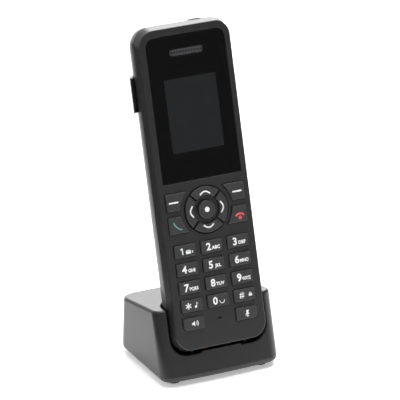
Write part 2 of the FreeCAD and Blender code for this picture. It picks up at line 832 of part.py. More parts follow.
def battery_contacts():
    """Plates at both ends of the bay, with a tapered spring against each cell's flat end."""
    pieces = []
    for side in (-1, 1):
        x = side * (cell_radius + cell_gap / 2)
        flat_end = bay_bottom if side < 0 else bay_top
        nub_end = bay_top if side < 0 else bay_bottom
        inward = 1 if side < 0 else -1
        for end, way in ((flat_end, inward), (nub_end, -inward)):
            z0 = min(end, end + way * contact_thickness)
            pad = slab(contact_half_width, cell_axis_depth - contact_half_width,
                       cell_axis_depth + contact_half_width, z0, z0 + contact_thickness, x)
            start = end + way * contact_thickness
            reach = bay_end_room - contact_thickness - stack_gap
            wide = spring_radius if end == flat_end else nub_spring_radius
            cone = Part.makeCone(wide, wide * spring_taper, reach, V(x, cell_axis_depth, start),
                                 V(0, 0, way))
            pieces.append(fused(pad, [cone]))
    return Part.makeCompound(pieces)


def battery_door():
    """Cover over the cells, following the back's curve, with grip ribs at its lower end."""
    skin = rear_form(0.0).cut(rear_form(-door_wall))
    door = skin.common(door_region(0.0))
    ribs = []
    for index in range(door_rib_count):
        z = door_bottom + door_rib_start + index * door_rib_pitch
        ribs.append(plate(door_rib_half_length - door_rib_step * index, z - door_rib_half_width,
                          z + door_rib_half_width, door_rib_half_width - stack_gap,
                          handset_depth - overlap, handset_depth + door_rib_rise))
    return fused(door, ribs)


def case_screws():
    """Four self-tapping screws that hold the two casings together."""
    screws = []
    for x, z in boss_places():
        shank = rod(screw_radius, V(x, face_wall + screw_tip_gap, z), V(x, screw_seat_depth, z))
        head_top = screw_seat_depth + screw_head_height
        head = rod(screw_head_radius, V(x, screw_seat_depth, z), V(x, head_top, z))
        arms = [slab(across, head_top - cross_depth, far, z - along, z + along, x)
                for across, along in ((cross_half_length, cross_half_width),
                                      (cross_half_width, cross_half_length))]
        screws.append(fused(shank, [head]).cut(arms))
    return Part.makeCompound(screws)


def loudspeaker():
    """Hands-free speaker behind the slots in the back."""
    back = handset_depth - side_wall - speaker_gap
    rim = V(0, back - speaker_rim, speaker_height)
    basket = rod(speaker_radius, rim, V(0, back, speaker_height))
    magnet = rod(speaker_magnet_radius, V(0, back - speaker_depth, speaker_height), rim)
    return fused(basket, [magnet])


# ---- Belt clip --------------------------------------------------------------------------
def clip_nib(side, grow, y_end):
    """Snap nib on an arm; grown and run out to the rear it is the groove it leaves by."""
    tip = case_half_width(nib_back) - nib_reach - grow
    root = case_half_width(clip_front) + clip_gap + overlap
    middle = (clip_bottom + clip_top) / 2
    return slab((root - tip) / 2, nib_front - grow, y_end, middle - nib_height / 2 - grow,
                middle + nib_height / 2 + grow, side * (root + tip) / 2)


def clip_band():
    """Arms beside the casing, joined by a strap that follows its back."""
    outer = plan_prism(clip_gap + clip_wall, 0.0, clip_bottom, clip_top)
    inner = plan_prism(clip_gap, -1.0, clip_bottom - 1, clip_top + 1)
    front = slab(far, -far, clip_front, clip_bottom - 1, clip_top + 1)
    band = outer.cut([inner, front])
    ends = [e for e in front_edges(band, clip_front)
            if e.BoundBox.ZLength < 1e-6]
    return band.makeFillet(clip_arm_radius, ends)


def belt_clip():
    """Sprung clip: a band with two arms, and a tongue for the belt."""
    tongue = plate(tongue_half_width, tongue_bottom, clip_top,
                   (tongue_corner_radius, tongue_corner_radius, 1.0, 1.0),
                   tongue_front, tongue_front + tongue_wall)
    tongue = tongue.makeFillet(tongue_edge_radius, front_edges(tongue, tongue_front + tongue_wall))
    root = slab(tongue_half_width - tongue_root_margin, handset_depth + clip_gap + clip_wall - overlap,
                tongue_front + overlap, clip_top - tongue_root, clip_top - overlap)
    nibs = [clip_nib(side, 0.0, nib_back) for side in (-1, 1)]
    return fused(clip_band(), [tongue, root] + nibs)


# ---- Jack, light pipe and charge pads ---------------------------------------------------
def cover_outline(grow, x0, x1):
    """Rounded plate on the right-hand side, from x0 to x1."""
    block = plate(cover_half_depth + grow, jack_height - cover_half_height - grow,
                  jack_height + cover_half_height + grow, cover_half_depth - 0.1,
                  0.0, x1 - x0)
    block.rotate(V(0, 0, 0), V(0, 0, 1), -90)
    block.translate(V(x0, jack_depth, 0))
    return block


def jack_cover_recess():
    """Seat of the cover in the casing's side, and the way through to the jack."""
    way = rod(jack_radius + jack_way_gap, V(cover_seat_x - side_half_width / 2, jack_depth, jack_height),
              V(far, jack_depth, jack_height))
    return cover_outline(cover_gap, cover_seat_x - cover_gap, far).fuse(way)


def headset_jack():
    """3.5 mm headset socket on the board's edge."""
    x1 = side_half_width - side_wall - jack_set_back
    body = slab(jack_body_length / 2, board_back + stack_gap, jack_depth + jack_body_half,
                jack_height - jack_body_half, jack_height + jack_body_half,
                x1 - jack_body_length / 2)
    return body.cut(rod(jack_radius, V(x1 - jack_body_length + jack_end_wall, jack_depth, jack_height),
                        V(far, jack_depth, jack_height)))


def jack_cover():
    """Rubber cover with a plug that seals the headset socket."""
    lid = cover_outline(0.0, cover_seat_x, cover_seat_x + cover_thickness)
    plug = rod(cover_plug_radius, V(cover_seat_x - cover_plug_length, jack_depth, jack_height),
               V(cover_seat_x + overlap, jack_depth, jack_height))
    return fused(lid, [plug])


def light_pipe_block(grow):
    """Message light's clear block in the top end, right of the middle."""
    return plate(light_half_width + grow, top_end - light_length - grow, top_end + light_rise,
                 light_radii, light_front - grow, light_back + grow, light_x)


def charge_pads():
    """Two plated pads under the bottom end."""
    pads = []
    for side in (-1, 1):
        pads.append(slab(pad_half_width - pad_gap, pad_front + pad_gap, pad_back - pad_gap,
                         pad_level, pad_level + pad_thickness, side * pad_x))
    return Part.makeCompound(pads)


# ---- Cradle outside ---------------------------------------------------------------------
def front_y(z):
    """Where the leaning front plane stands at height z."""
    return front_set_back * math.cos(lean) + math.tan(lean) * (
        z - seat_height + front_set_back * math.sin(lean))


def rear_y(z):
    return cradle_rear - rear_rake * (z - shell_bottom)


def cradle_front_outline(inset, z):
    """Bowed front with its two corners, and sides that run out to the rear, at height z."""
    half_width = cradle_half_width - inset
    radius = max(front_corner_radius - inset, 1.0)
    front = front_y(z) + inset / math.cos(lean)
    hub = V(0, front + front_bow_radius, z)
    x_c = half_width - radius
    y_c = hub.y - math.sqrt((front_bow_radius - radius) ** 2 - x_c ** 2)
    tangent = hub + (V(x_c, y_c, z) - hub).normalize() * front_bow_radius
    turn = math.atan2(tangent.y - y_c, tangent.x - x_c) / 2
    bend = V(x_c + radius * math.cos(turn), y_c + radius * math.sin(turn), z)
    side = V(half_width, y_c, z)
    rear = V(half_width, far, z)
    return Part.Wire([
        Part.Arc(mirrored(tangent), V(0, front, z), tangent).toShape(),
        Part.Arc(tangent, bend, side).toShape(),
        Part.makeLine(side, rear),
        Part.makeLine(rear, mirrored(rear)),
        Part.makeLine(mirrored(rear), mirrored(side)),
        Part.Arc(mirrored(side), mirrored(bend), mirrored(tangent)).toShape()])


def mirrored(point):
    return V(-point.x, point.y, point.z)


def cradle_rear_outline(inset, z):
    """Rear wall with its two corners, and sides that run out to the front, at height z."""
    half_width = cradle_half_width - inset
    radius = max(rear_corner_radius - inset, 1.0)
    rear = rear_y(z) - inset
    side = V(half_width, rear - radius, z)
    bend = V(half_width - radius * (1 - math.sqrt(0.5)), rear - radius * (1 - math.sqrt(0.5)), z)
    back = V(half_width - radius, rear, z)
    front = V(half_width, -far, z)
    return Part.Wire([
        Part.makeLine(front, side), Part.Arc(side, bend, back).toShape(),
        Part.makeLine(back, mirrored(back)),
        Part.Arc(mirrored(back), mirrored(bend), mirrored(side)).toShape(),
        Part.makeLine(mirrored(side), mirrored(front)), Part.makeLine(mirrored(front), front)])


def cradle_form(inset, z0, z1):
    """The cradle's outline from height z0 to z1: the front leans back, the rear leans in."""
    rise = z1 - z0
    front = Part.Face(cradle_front_outline(inset, z0)).extrude(V(0, rise * math.tan(lean), rise))
    rear = Part.Face(cradle_rear_outline(inset, z0)).extrude(V(0, -rise * rear_rake, rise))
    return front.common(rear)


def above_top(drop):
    """Everything above the sloping top, or above a plane that much lower."""
    fall = math.tan(math.radians(top_fall_angle))
    start = front_y(cradle_front_height)

    def height(y):
        return cradle_front_height - drop - fall * (y - start)
    points = [V(-far, -far, height(-far)), V(-far, far, height(far)), V(-far, far, far),
              V(-far, -far, far + height(-far)), V(-far, -far, height(-far))]
    return Part.Face(Part.makePolygon(points)).extrude(V(2 * far, 0, 0))


def rim_height():
    return cradle_front_height + rim_room


def cradle_outside():
    """Outer form of the cradle with its eased top and foot edges."""
    form = cradle_form(0.0, shell_bottom, rim_height()).cut(above_top(0.0))
    foot = level_edges(form, shell_bottom)
    form = form.makeFillet(bottom_edge_radius, foot)
    top = max(form.Faces, key=lambda face: face.CenterOfMass.z)
    return form.makeFillet(top_edge_radius, top.Edges)


def pocket_form(grow):
    """Space that holds the handset, grown all round by grow; it runs out to the front."""
    gap = pocket_gap + grow
    floor = pocket_floor - grow
    plan = plan_prism(gap, -far / 4, floor, pocket_height)
    front = plate(side_half_width + gap, floor, pocket_height + corner_radius,
                  corner_radius + grow, -far / 4, far)
    return seat(plan.common(front))


def cradle_bosses():
    """Screw bosses: x and y of each."""
    x = cradle_half_width - cradle_boss_margin
    return [(side * x, y) for y in (front_boss_y, cradle_rear - rear_boss_margin)
            for side in (-1, 1)]


def pocket_lip():
    """Low raised lip along the middle of the pocket's front edge."""
    return seat(slab(lip_half_width, front_set_back, front_set_back + lip_depth,
                     pocket_floor - overlap, pocket_floor + lip_rise))


def pocket_rests():
    """Two ribs on the pocket's floor that carry the handset."""
    return [seat(slab(rest_half_width, rest_front, rest_back, pocket_floor - overlap,
                      bottom_end - rest_gap, side * rest_x)) for side in (-1, 1)]


def contact_places():
    """Across and depth of the two charging contacts, in the handset's own frame."""
    depth = (pad_front + pad_back) / 2
    return ((-pad_x, depth), (pad_x, depth))


def inlet_box(grow, y0, y1):
    """Block as large as the power inlet, on the cradle's board."""
    return slab(inlet_half_width + grow, y0, y1, cradle_board_top - grow,
                cradle_board_top + inlet_height + grow)


def inlet_mouth():
    return rear_y(cradle_board_level) - inlet_set_back


def rim_edges(shell, outside):
    """Edges where the pocket breaks out through the cradle's outside."""
    skins = (outside.Shells[0], pocket_form(0.0).Shells[0])
    edges = []
    for edge in shell.Edges:
        middle = Part.Vertex(edge.valueAt((edge.FirstParameter + edge.LastParameter) / 2))
        if all(middle.distToShape(skin)[0] < 1e-4 for skin in skins):
            edges.append(edge)
    return edges


def cradle_shell():
    outside = cradle_outside()
    low = cradle_form(foot_rim_inset, shell_bottom - 1,
                      shell_bottom + bottom_edge_radius + foot_rim_depth)
    high = cradle_form(shell_wall, shell_bottom + bottom_edge_radius, rim_height())
    shell = outside.cut([low, high.cut(above_top(top_wall))])
    tub = pocket_form(pocket_wall).common(outside)
    bosses = []
    for x, y in cradle_bosses():
        bosses.append(rod(cradle_boss_radius, V(x, y, base_top + stack_gap),
                          V(x, y, rim_height())).common(outside))
    shell = fused(shell, [tub] + bosses)
    cuts = [pocket_form(0.0)]
    for x, y in cradle_bosses():
        cuts.append(rod(cradle_screw_radius, V(x, y, 0),
                        V(x, y, base_bottom + cradle_screw_length + cradle_screw_tip_gap)))
    for x, y in contact_places():
        hole = rod(cradle_contact_radius + contact_bore_gap,
                   V(x, y, pocket_floor - pocket_wall - 1), V(x, y, 1))
        cuts.append(seat(hole))
    mouth = inlet_mouth()
    cuts.append(inlet_box(inlet_gap, mouth - shell_wall - 2, far))
    cuts.append(inlet_box(inlet_flare, mouth + inlet_set_back - inlet_flare_depth, far))
    shell = shell.cut(cuts)
    shell = shell.makeFillet(rim_edge_radius, rim_edges(shell, outside))
    return fused(shell, [pocket_lip()] + pocket_rests())


# ---- Cradle underside and inside --------------------------------------------------------
def foot_centres():
    x = cradle_half_width - foot_margin
    return [(side * x, y) for y in (front_foot_y, cradle_rear - rear_foot_margin)
            for side in (-1, 1)]


def cradle_base_plate():
    """Plate that closes the cradle's underside."""
    base = cradle_form(foot_rim_inset + base_gap, base_bottom, base_top)
    posts = [rod(post_radius, V(x, y, base_top - overlap), V(x, y, cradle_board_level))
             for x in (-post_x, post_x)
             for y in (cradle_board_front + post_inset, cradle_rear - rear_post_margin)]
    base = fused(base, posts)
    cuts = []
    for x, y in cradle_bosses():
        cuts.append(rod(cradle_screw_radius + cradle_screw_gap, V(x, y, 0), V(x, y, far)))
        cuts.append(rod(cradle_screw_head_radius + cradle_screw_gap, V(x, y, 0),
                        V(x, y, base_bottom + cradle_screw_head_height)))
    for x, y in foot_centres():
        cuts.append(rod(foot_radius, V(x, y, 0), V(x, y, base_bottom + foot_sink)))
    return base.cut(cuts)


def cradle_screws():
    screws = []
    for x, y in cradle_bosses():
        seat_z = base_bottom + cradle_screw_head_height
        head = rod(cradle_screw_head_radius, V(x, y, base_bottom + cradle_screw_gap),
                   V(x, y, seat_z))
        shank = rod(cradle_screw_radius, V(x, y, seat_z),
                    V(x, y, base_bottom + cradle_screw_length))
        arms = [slab(across, y - along, y + along, 0, base_bottom + cradle_cross_depth, x)
                for across, along in ((cradle_cross_half_length, cradle_cross_half_width),
                                      (cradle_cross_half_width, cradle_cross_half_length))]
        screws.append(fused(head, [shank]).cut(arms))
    return Part.makeCompound(screws)


def cradle_feet():
    feet = []
    for x, y in foot_centres():
        foot = rod(foot_radius, V(x, y, 0), V(x, y, base_bottom + foot_sink))
        feet.append(foot.makeFillet(foot_edge_radius, level_edges(foot, 0.0)))
    return Part.makeCompound(feet)


def cradle_contact(place):
    """Sprung charging contact: domed pin, flange and tail."""
    x, y = place
    flange_bottom = cradle_contact_flange_top - cradle_contact_flange_height
    tip_top = pad_level - contact_touch_gap
    tip = rod(cradle_contact_radius, V(x, y, cradle_contact_flange_top), V(x, y, tip_top))
    tip = tip.makeFillet(cradle_contact_radius * 0.6, level_edges(tip, tip_top))
    flange = rod(cradle_contact_flange, V(x, y, flange_bottom),
                 V(x, y, cradle_contact_flange_top))
    tail = rod(cradle_contact_tail_radius, V(x, y, flange_bottom - cradle_contact_tail),
               V(x, y, flange_bottom))
    return seat(fused(flange, [tip, tail]))


def cradle_contact_carrier():
    """Moulded block under the pocket that guides both contacts."""
    top = pocket_floor - pocket_wall - carrier_gap
    block = slab(carrier_half_width, carrier_front, carrier_back, carrier_bottom, top)
    floor = carrier_bottom + cradle_contact_travel
    bores = [rod(cradle_contact_flange + contact_bore_gap, V(x, y, floor), V(x, y, far))
             for x, y in contact_places()]
    return seat(block.cut(bores))


def cradle_board():
    """Circuit board with its charging chip, a smaller part and a capacitor."""
    top = cradle_board_top
    end = rear_y(top) - shell_wall - board_gap
    board = slab(cradle_board_half_width, cradle_board_front, end, cradle_board_level, top)
    chip = slab(2.5, 38.0, 43.0, top, top + 2.0, -7.0)
    small_part = slab(1.5, 38.0, 40.5, top, top + 1.2)
    capacitor = rod(2.0, V(7.0, 41.0, top), V(7.0, 41.0, top + 4.5))
    return fused(board, [chip, small_part, capacitor])


def cradle_usb_inlet():
    """Micro-USB power socket at the back of the cradle."""
    mouth = inlet_mouth()
    block = inlet_box(0.0, mouth - inlet_length, mouth)
    hollow = inlet_box(-inlet_wall, mouth - inlet_length + inlet_back_wall, far)
    z = cradle_board_top + inlet_height / 2
    tongue = slab(inlet_tongue_half_width, mouth - inlet_length, mouth - inlet_tongue_set_back,
                  z - inlet_tongue_height / 2, z + inlet_tongue_height / 2)
    return fused(block.cut(hollow), [tongue])


def cradle_ballast():
    """Two steel bars that keep the cradle from tipping."""
    bars = []
    for side in (-1, 1):
        bar = slab(ballast_half_width, ballast_front, cradle_rear - ballast_rear_margin,
                   base_top + stack_gap, base_top + ballast_height,
                   side * (cradle_half_width - ballast_margin))
        bars.append(bar.makeChamfer(ballast_chamfer, bar.Edges))
    return Part.makeCompound(bars)


# ---- Everything, each piece under its own name ------------------------------------------
def handset_pieces():
    pieces = {
        "front_case": front_case(), "rear_case": rear_case(),
        "display_window": display_window(), "display_module": display_module(),
        "earpiece_grille": earpiece_grille(), "earpiece": earpiece(),
        "microphone": microphone(), "loudspeaker": loudspeaker(),
        "keypad_mat": keypad_mat(), "dome_sheet": dome_sheet(),
        "main_board": main_board(), "shield_can": shield_can(), "antenna": antenna(),
        "battery_cells": battery_cells(), "battery_contacts": battery_contacts(),
        "battery_door": battery_door(), "belt_clip": belt_clip(),
        "message_light": light_pipe_block(0.0), "headset_jack": headset_jack(),
        "jack_cover": jack_cover(), "charge_pads": charge_pads(),
        "case_screws": case_screws()}
    for name, outline, rise, plunger in all_keys():
        pieces[name] = key_solid(outline, rise, plunger)
    return {name: seat(shape) for name, shape in pieces.items()}


def cradle_pieces():
    left, right = contact_places()
    return {
        "cradle_shell": cradle_shell(), "cradle_base_plate": cradle_base_plate(),
        "cradle_feet": cradle_feet(), "cradle_screws": cradle_screws(),
        "cradle_contact_left": cradle_contact(left),
        "cradle_contact_right": cradle_contact(right),
        "cradle_contact_carrier": cradle_contact_carrier(),
        "cradle_board": cradle_board(), "cradle_usb_inlet": cradle_usb_inlet(),
        "cradle_ballast": cradle_ballast()}


def main():
    os.makedirs("parts", exist_ok=True)
    pieces = handset_pieces()
    pieces.update(cradle_pieces())
    box = FreeCAD.BoundBox()
    for shape in pieces.values():
        box.add(shape.optimalBoundingBox(False, False))
    shift = V(-box.Center.x, -box.Center.y, -box.ZMin)
    print("box", round(box.XLength, 2), round(box.YLength, 2), round(box.ZLength, 2),
          "shift", tuple(round(value, 3) for value in shift))
    for name, shape in pieces.items():
        shape.translate(shift)
        shape.exportStep("parts/" + name + ".step")
        print(name, len(shape.Solids), round(shape.Volume, 1), shape.isValid())


main()
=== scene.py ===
# %% [markdown]
# # A cordless phone in its charging cradle
# The CAD model holds every hard part of this phone: two casings, a window, twenty-three keys,
# a belt clip, a battery door and the cradle. This script dresses those parts: it gives each one
# the surface of the plastic, metal or rubber that it is made of, prints the signs on the keys,
# and adds the things that are too fine for the CAD model, such as coil springs and woven cloth.

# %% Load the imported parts
import json
import math

import bmesh
import bpy
from mathutils import Matrix, Vector


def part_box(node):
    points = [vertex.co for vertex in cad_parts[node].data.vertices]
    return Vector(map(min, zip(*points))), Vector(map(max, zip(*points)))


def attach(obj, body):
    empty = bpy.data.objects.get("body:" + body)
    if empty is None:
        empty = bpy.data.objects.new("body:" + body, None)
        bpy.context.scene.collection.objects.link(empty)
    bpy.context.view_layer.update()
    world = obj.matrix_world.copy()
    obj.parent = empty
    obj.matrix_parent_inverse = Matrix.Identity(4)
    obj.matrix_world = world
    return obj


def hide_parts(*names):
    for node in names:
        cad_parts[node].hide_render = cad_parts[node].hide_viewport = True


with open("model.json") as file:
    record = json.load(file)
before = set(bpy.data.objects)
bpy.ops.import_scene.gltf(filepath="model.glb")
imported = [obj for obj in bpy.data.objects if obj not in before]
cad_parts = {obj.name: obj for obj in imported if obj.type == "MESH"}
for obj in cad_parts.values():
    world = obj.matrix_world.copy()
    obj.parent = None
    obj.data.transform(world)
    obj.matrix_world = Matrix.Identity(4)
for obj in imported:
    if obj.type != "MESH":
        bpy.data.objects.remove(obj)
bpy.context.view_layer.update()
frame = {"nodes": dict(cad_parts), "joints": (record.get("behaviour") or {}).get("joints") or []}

MM = 0.001
nodes = frame["nodes"]

# %% [markdown]
# ## Directions that lean with the handset
# The handset leans back in its cradle, so "across", "back" and "up" on the handset aren't the
# world's X, Y and Z. The joints already say which way it leans: it lifts out along its own
# length, and its keys travel straight back. With those two directions and X, every key is a
# plain rectangle again, and a sign can be drawn flat and then laid on its key.

# %% The handset's own directions
joints = {joint["name"]: joint for joint in frame["joints"]}
ACROSS = Vector((1.0, 0.0, 0.0))
BACK = Vector(joints["key_5_press"]["axis"]).normalized()
UP = Vector(joints["handset_lift"]["axis"]).normalized()
LEAN = math.atan2(UP.y, UP.z)
# A flat drawing has its X across, its Y up the handset and its Z towards the reader.
DRAWING = Matrix((ACROSS, UP, -BACK)).transposed().to_4x4()
print("the handset leans back", round(math.degrees(LEAN), 1), "degrees")


def leaning_box(node):
    """Lowest and highest corner of a CAD node: x is across, y back and z up the handset."""
    rows = [(v.co.dot(ACROSS), v.co.dot(BACK), v.co.dot(UP)) for v in nodes[node].data.vertices]
    return [Vector([pick(row[axis] for row in rows) for axis in range(3)]) for pick in (min, max)]


def on_handset(across, back, up):
    """Matrix that lays a flat drawing at a place on the leaning handset."""
    return Matrix.Translation(ACROSS * across + BACK * back + UP * up) @ DRAWING


# %% [markdown]
# ## Colours and nodes
# Hex colours are how people write down what they see, but shaders work in linear light, so one
# function converts them. Materials and Geometry Nodes are both trees, and one helper adds a
# node, sets its values and makes its links, so each tree below reads as a list of its parts.

# %% Colour and node helpers
def linear(hex_colour, gain=1.0):
    """An sRGB hex colour as linear RGBA, made lighter or darker by gain."""
    channels = [int(hex_colour[i:i + 2], 16) / 255 for i in (0, 2, 4)]
    return [gain * (c / 12.92 if c <= 0.04045 else ((c + 0.055) / 1.055) ** 2.4)
            for c in channels] + [1.0]


def add(tree, kind, settings=None, **inputs):
    """Adds a node. Inputs are values or sockets, named as the node does or n and a number."""
    node = tree.nodes.new(kind)
    for name, value in (settings or {}).items():
        setattr(node, name, value)
    for name, value in inputs.items():
        key = int(name[1:]) if name[1:].isdigit() else name.replace("_", " ")
        if isinstance(value, bpy.types.NodeSocket):
            tree.links.new(value, node.inputs[key])
        else:
            node.inputs[key].default_value = value
    return node


def new_material(name, **constants):
    """A material with a shader whose constant inputs are set: material, tree and shader."""
    material = bpy.data.materials.new(name)
    material.use_nodes = True
    tree = material.node_tree
    tree.nodes.clear()
    shader = add(tree, "ShaderNodeBsdfPrincipled", **constants)
    add(tree, "ShaderNodeOutputMaterial", Surface=shader.outputs["BSDF"])
    return material, tree, shader


def connect(tree, shader, **inputs):
    """Links sockets into a shader's inputs, by name."""
    for name, value in inputs.items():
        tree.links.new(value, shader.inputs[name.replace("_", " ")])


def mix(tree, share, first, second):
    """A colour between two colours or sockets."""
    return add(tree, "ShaderNodeMix", {"data_type": "RGBA"}, n0=share, n6=first,
               n7=second).outputs[2]


def spread(tree, value, low, high, to_low, to_high):
    """A value's range from low to high, stretched to another range."""
    return add(tree, "ShaderNodeMapRange", Value=value, From_Min=low, From_Max=high,
               To_Min=to_low, To_Max=to_high).outputs["Result"]


def noise(tree, size, detail=3.0):
    """Noise whose lumps are size mm across, fixed to the piece."""
    place = add(tree, "ShaderNodeTexCoord").outputs["Object"]
    return add(tree, "ShaderNodeTexNoise", Vector=place, Scale=1 / (size * MM),
               Detail=detail).outputs["Fac"]


print("#808080 is", round(linear("808080")[0], 3), "in linear light")

# %% [markdown]
# ## Moulded plastic
# The casings are ABS, injection moulded against a spark-eroded steel tool. The tool's pits
# leave a fine grain that scatters light, so the plastic looks satin, and a little grey where it
# faces a lamp. One noise at the grain's size dents the surface; a broad, faint one gives the
# slight unevenness of a handled part. No moulding has a truly sharp edge, so a Bevel node
# rounds the shading along each edge, and the same node marks the edges: there the colour is
# painted paler, a painted highlight along every edge, and the plastic is smoother. A modelled bevel
# on every edge would also do it, but would cost thousands of faces on parts that CAD already
# shaped.

# %% The moulded plastic recipe
EDGE_ROUNDING = 0.22        # mm
BROAD_MOTTLE = 14.0         # mm


def moulded_plastic(name, colour, roughness, grain, depth, edge_highlight=0.5, mottle=0.10):
    """A moulded plastic or rubber. grain is its size and depth its height, both in mm;
    edge_highlight is the share of painted highlight on its edges.
    """
    material, tree, shader = new_material(name, IOR=1.53)
    fine = noise(tree, grain)
    soft = add(tree, "ShaderNodeBevel", {"samples": 4}, Radius=EDGE_ROUNDING * MM).outputs[0]
    flat = add(tree, "ShaderNodeNewGeometry").outputs["Normal"]
    agree = add(tree, "ShaderNodeVectorMath", {"operation": "DOT_PRODUCT"}, n0=soft, n1=flat)
    # Painted highlight: the edge mask lightens the colour along each edge and lowers the roughness
    # there.
    edge_highlight_mask = spread(tree, agree.outputs["Value"], 0.99, 0.8, 0.0, edge_highlight)
    tint = mix(tree, noise(tree, BROAD_MOTTLE, 2.0), linear(colour, 1 - mottle),
               linear(colour, 1 + mottle))
    # painted highlight: the colour turns up to 2.2 times paler towards each edge
    edge_highlighted_colour = mix(tree, edge_highlight_mask, tint, linear(colour, 2.2))
    sheen = spread(tree, fine, 0.3, 0.7, roughness - 0.05, roughness + 0.05)
    polish = add(tree, "ShaderNodeMath", {"operation": "MULTIPLY_ADD"}, n0=edge_highlight_mask, n1=-0.12,
                 n2=sheen).outputs[0]
    bump = add(tree, "ShaderNodeBump", Height=fine, Strength=0.35, Distance=depth * MM,
               Normal=soft)
    connect(tree, shader, Base_Color=edge_highlighted_colour, Roughness=polish, Normal=bump.outputs["Normal"])
    return material


case_abs = moulded_plastic("abs_moulded_case", "262626", 0.36, 0.35, 0.03)
key_abs = moulded_plastic("abs_moulded_key", "383838", 0.34, 0.25, 0.012)
clip_abs = moulded_plastic("abs_moulded_clip", "1d1d1e", 0.34, 0.35, 0.02)
cradle_abs = moulded_plastic("abs_moulded_cradle", "252525", 0.33, 0.4, 0.02)
grille_abs = moulded_plastic("abs_moulded_grille", "4c4c4e", 0.40, 0.2, 0.01)
socket_nylon = moulded_plastic("nylon_moulded_socket", "161616", 0.5, 0.3, 0.02)
rubber = moulded_plastic("rubber_moulded", "1b1b1c", 0.7, 0.5, 0.04, edge_highlight=0.2)
print("moulded finishes:", len(bpy.data.materials))

# %% [markdown]
# ## The window
# The window is clear acrylic, polished, with black ink on its back everywhere but over the
# display. The switched-off display shows through as a slightly paler grey. Both lie under one
# unbroken glossy surface, so one shader does it: only the colour changes at the display's edge,
# which is measured on the display module itself. Dust makes the gloss uneven.

# %% Polished window with the display behind it
def handset_place(tree):
    """Object coordinates turned to run across, back and up the leaning handset."""
    place = add(tree, "ShaderNodeTexCoord").outputs["Object"]
    turned = add(tree, "ShaderNodeMapping", Vector=place, Rotation=(LEAN, 0.0, 0.0))
    return add(tree, "ShaderNodeSeparateXYZ", Vector=turned.outputs["Vector"]).outputs


def inside(tree, value, low, high, soft):
    """1 where value is between low and high, falling to 0 over the width soft."""
    offset = add(tree, "ShaderNodeMath", {"operation": "SUBTRACT"}, n0=value,
                 n1=(low + high) / 2).outputs[0]
    away = add(tree, "ShaderNodeMath", {"operation": "ABSOLUTE"}, n0=offset).outputs[0]
    half = (high - low) / 2
    return spread(tree, away, half - soft / 2, half + soft / 2, 1.0, 0.0)


DISPLAY_FRAME = 2.6 * MM        # the module is this much larger than what shows of it
DISPLAY_HEIGHT = 37.6 * MM


def window_acrylic():
    material, tree, shader = new_material("acrylic_polished_window", IOR=1.49)
    low, high = leaning_box("display_module")
    across, _, up = (handset_place(tree)[axis] for axis in range(3))
    top = high.z - DISPLAY_FRAME
    in_width = inside(tree, across, low.x + DISPLAY_FRAME, high.x - DISPLAY_FRAME, 0.15 * MM)
    in_height = inside(tree, up, top - DISPLAY_HEIGHT, top, 0.15 * MM)
    shown = add(tree, "ShaderNodeMath", {"operation": "MULTIPLY"}, n0=in_width, n1=in_height)
    crystal = mix(tree, noise(tree, 9.0), linear("232425"), linear("272829"))
    tint = mix(tree, shown.outputs[0], linear("0b0b0c"), crystal)
    connect(tree, shader, Base_Color=tint,
            Roughness=spread(tree, noise(tree, 6.0, 4.0), 0.3, 0.75, 0.04, 0.10))
    print("display from", round((top - DISPLAY_HEIGHT) / MM, 1), "to", round(top / MM, 1), "mm up")
    return material


window_finish = window_acrylic()


# %% [markdown]
# ## Metals
# Contacts are brass with a flash of gold, cans and sockets are tinned steel, springs are
# nickel plated and screws are blackened. Rolling and tumbling leave marks a few tenths of a
# millimetre across: they change how rough the metal looks from point to point.

# %% Plated metals
def plated_metal(name, colour, roughness, mark):
    """Metal with fine rolling or tumbling marks; mark is their size in mm."""
    material, tree, shader = new_material(name, Metallic=1.0, Base_Color=linear(colour))
    marks = noise(tree, mark, 4.0)
    bump = add(tree, "ShaderNodeBump", Height=marks, Strength=0.2, Distance=0.01 * MM)
    connect(tree, shader, Roughness=spread(tree, marks, 0.3, 0.7, roughness - 0.08,
                                           roughness + 0.08), Normal=bump.outputs["Normal"])
    return material


gold_plate = plated_metal("brass_gold_plated", "d9b36a", 0.28, 0.4)
tin_plate = plated_metal("steel_tinned", "b4b5b6", 0.38, 0.6)
black_steel = plated_metal("steel_blackened", "4a4a4c", 0.45, 0.5)
spring_steel = plated_metal("steel_nickel_plated_spring", "bcbdbd", 0.25, 0.3)
print("metals: gold, tin, black oxide, nickel")


# %% [markdown]
# ## Inks, boards and sleeves
# Pad-printed ink is flat, matt and a little thin in places. A circuit board's solder mask is
# glossy green over paler tracks, and a rechargeable cell wears a printed plastic sleeve.

# %% Ink, board and sleeve
def printed_ink(name, colour):
    """Pad-printed ink: matt, a little thin in places."""
    material, tree, shader = new_material(name, Roughness=0.5)
    connect(tree, shader, Base_Color=mix(tree, noise(tree, 0.5), linear(colour, 0.94),
                                         linear(colour)))
    return material


white_ink = printed_ink("ink_pad_printed_white", "ffffff")
green_ink = printed_ink("ink_pad_printed_green", "6f9f9b")
red_ink = printed_ink("ink_pad_printed_red", "f2605f")


def banded(name, low_colour, high_colour, pitch, share, roughness, axis):
    """Two colours in bands along a direction of the handset: 0 across, 1 back, 2 up."""
    material, tree, shader = new_material(name, Roughness=roughness)
    phase = add(tree, "ShaderNodeMath", {"operation": "PINGPONG"}, n0=handset_place(tree)[axis],
                n1=pitch * MM).outputs[0]
    band = spread(tree, phase, share * pitch * MM, (share * pitch + 0.1) * MM, 0.0, 1.0)
    connect(tree, shader, Base_Color=mix(tree, band, linear(low_colour), linear(high_colour)))
    return material


board_mask = banded("fibreglass_solder_mask", "0f3b26", "16502f", 0.9, 0.45, 0.35, 0)
cell_sleeve = banded("pvc_printed_cell_sleeve", "2f6b3d", "d8dad6", 11.0, 0.75, 0.3, 2)
dome_film = moulded_plastic("polyester_clear_film", "b9b9b0", 0.3, 0.8, 0.01, edge_highlight=0.0)
smoked_lens = moulded_plastic("polycarbonate_smoked_light", "6a6a6c", 0.15, 0.8, 0.004)
print("finishes in all:", len(bpy.data.materials))

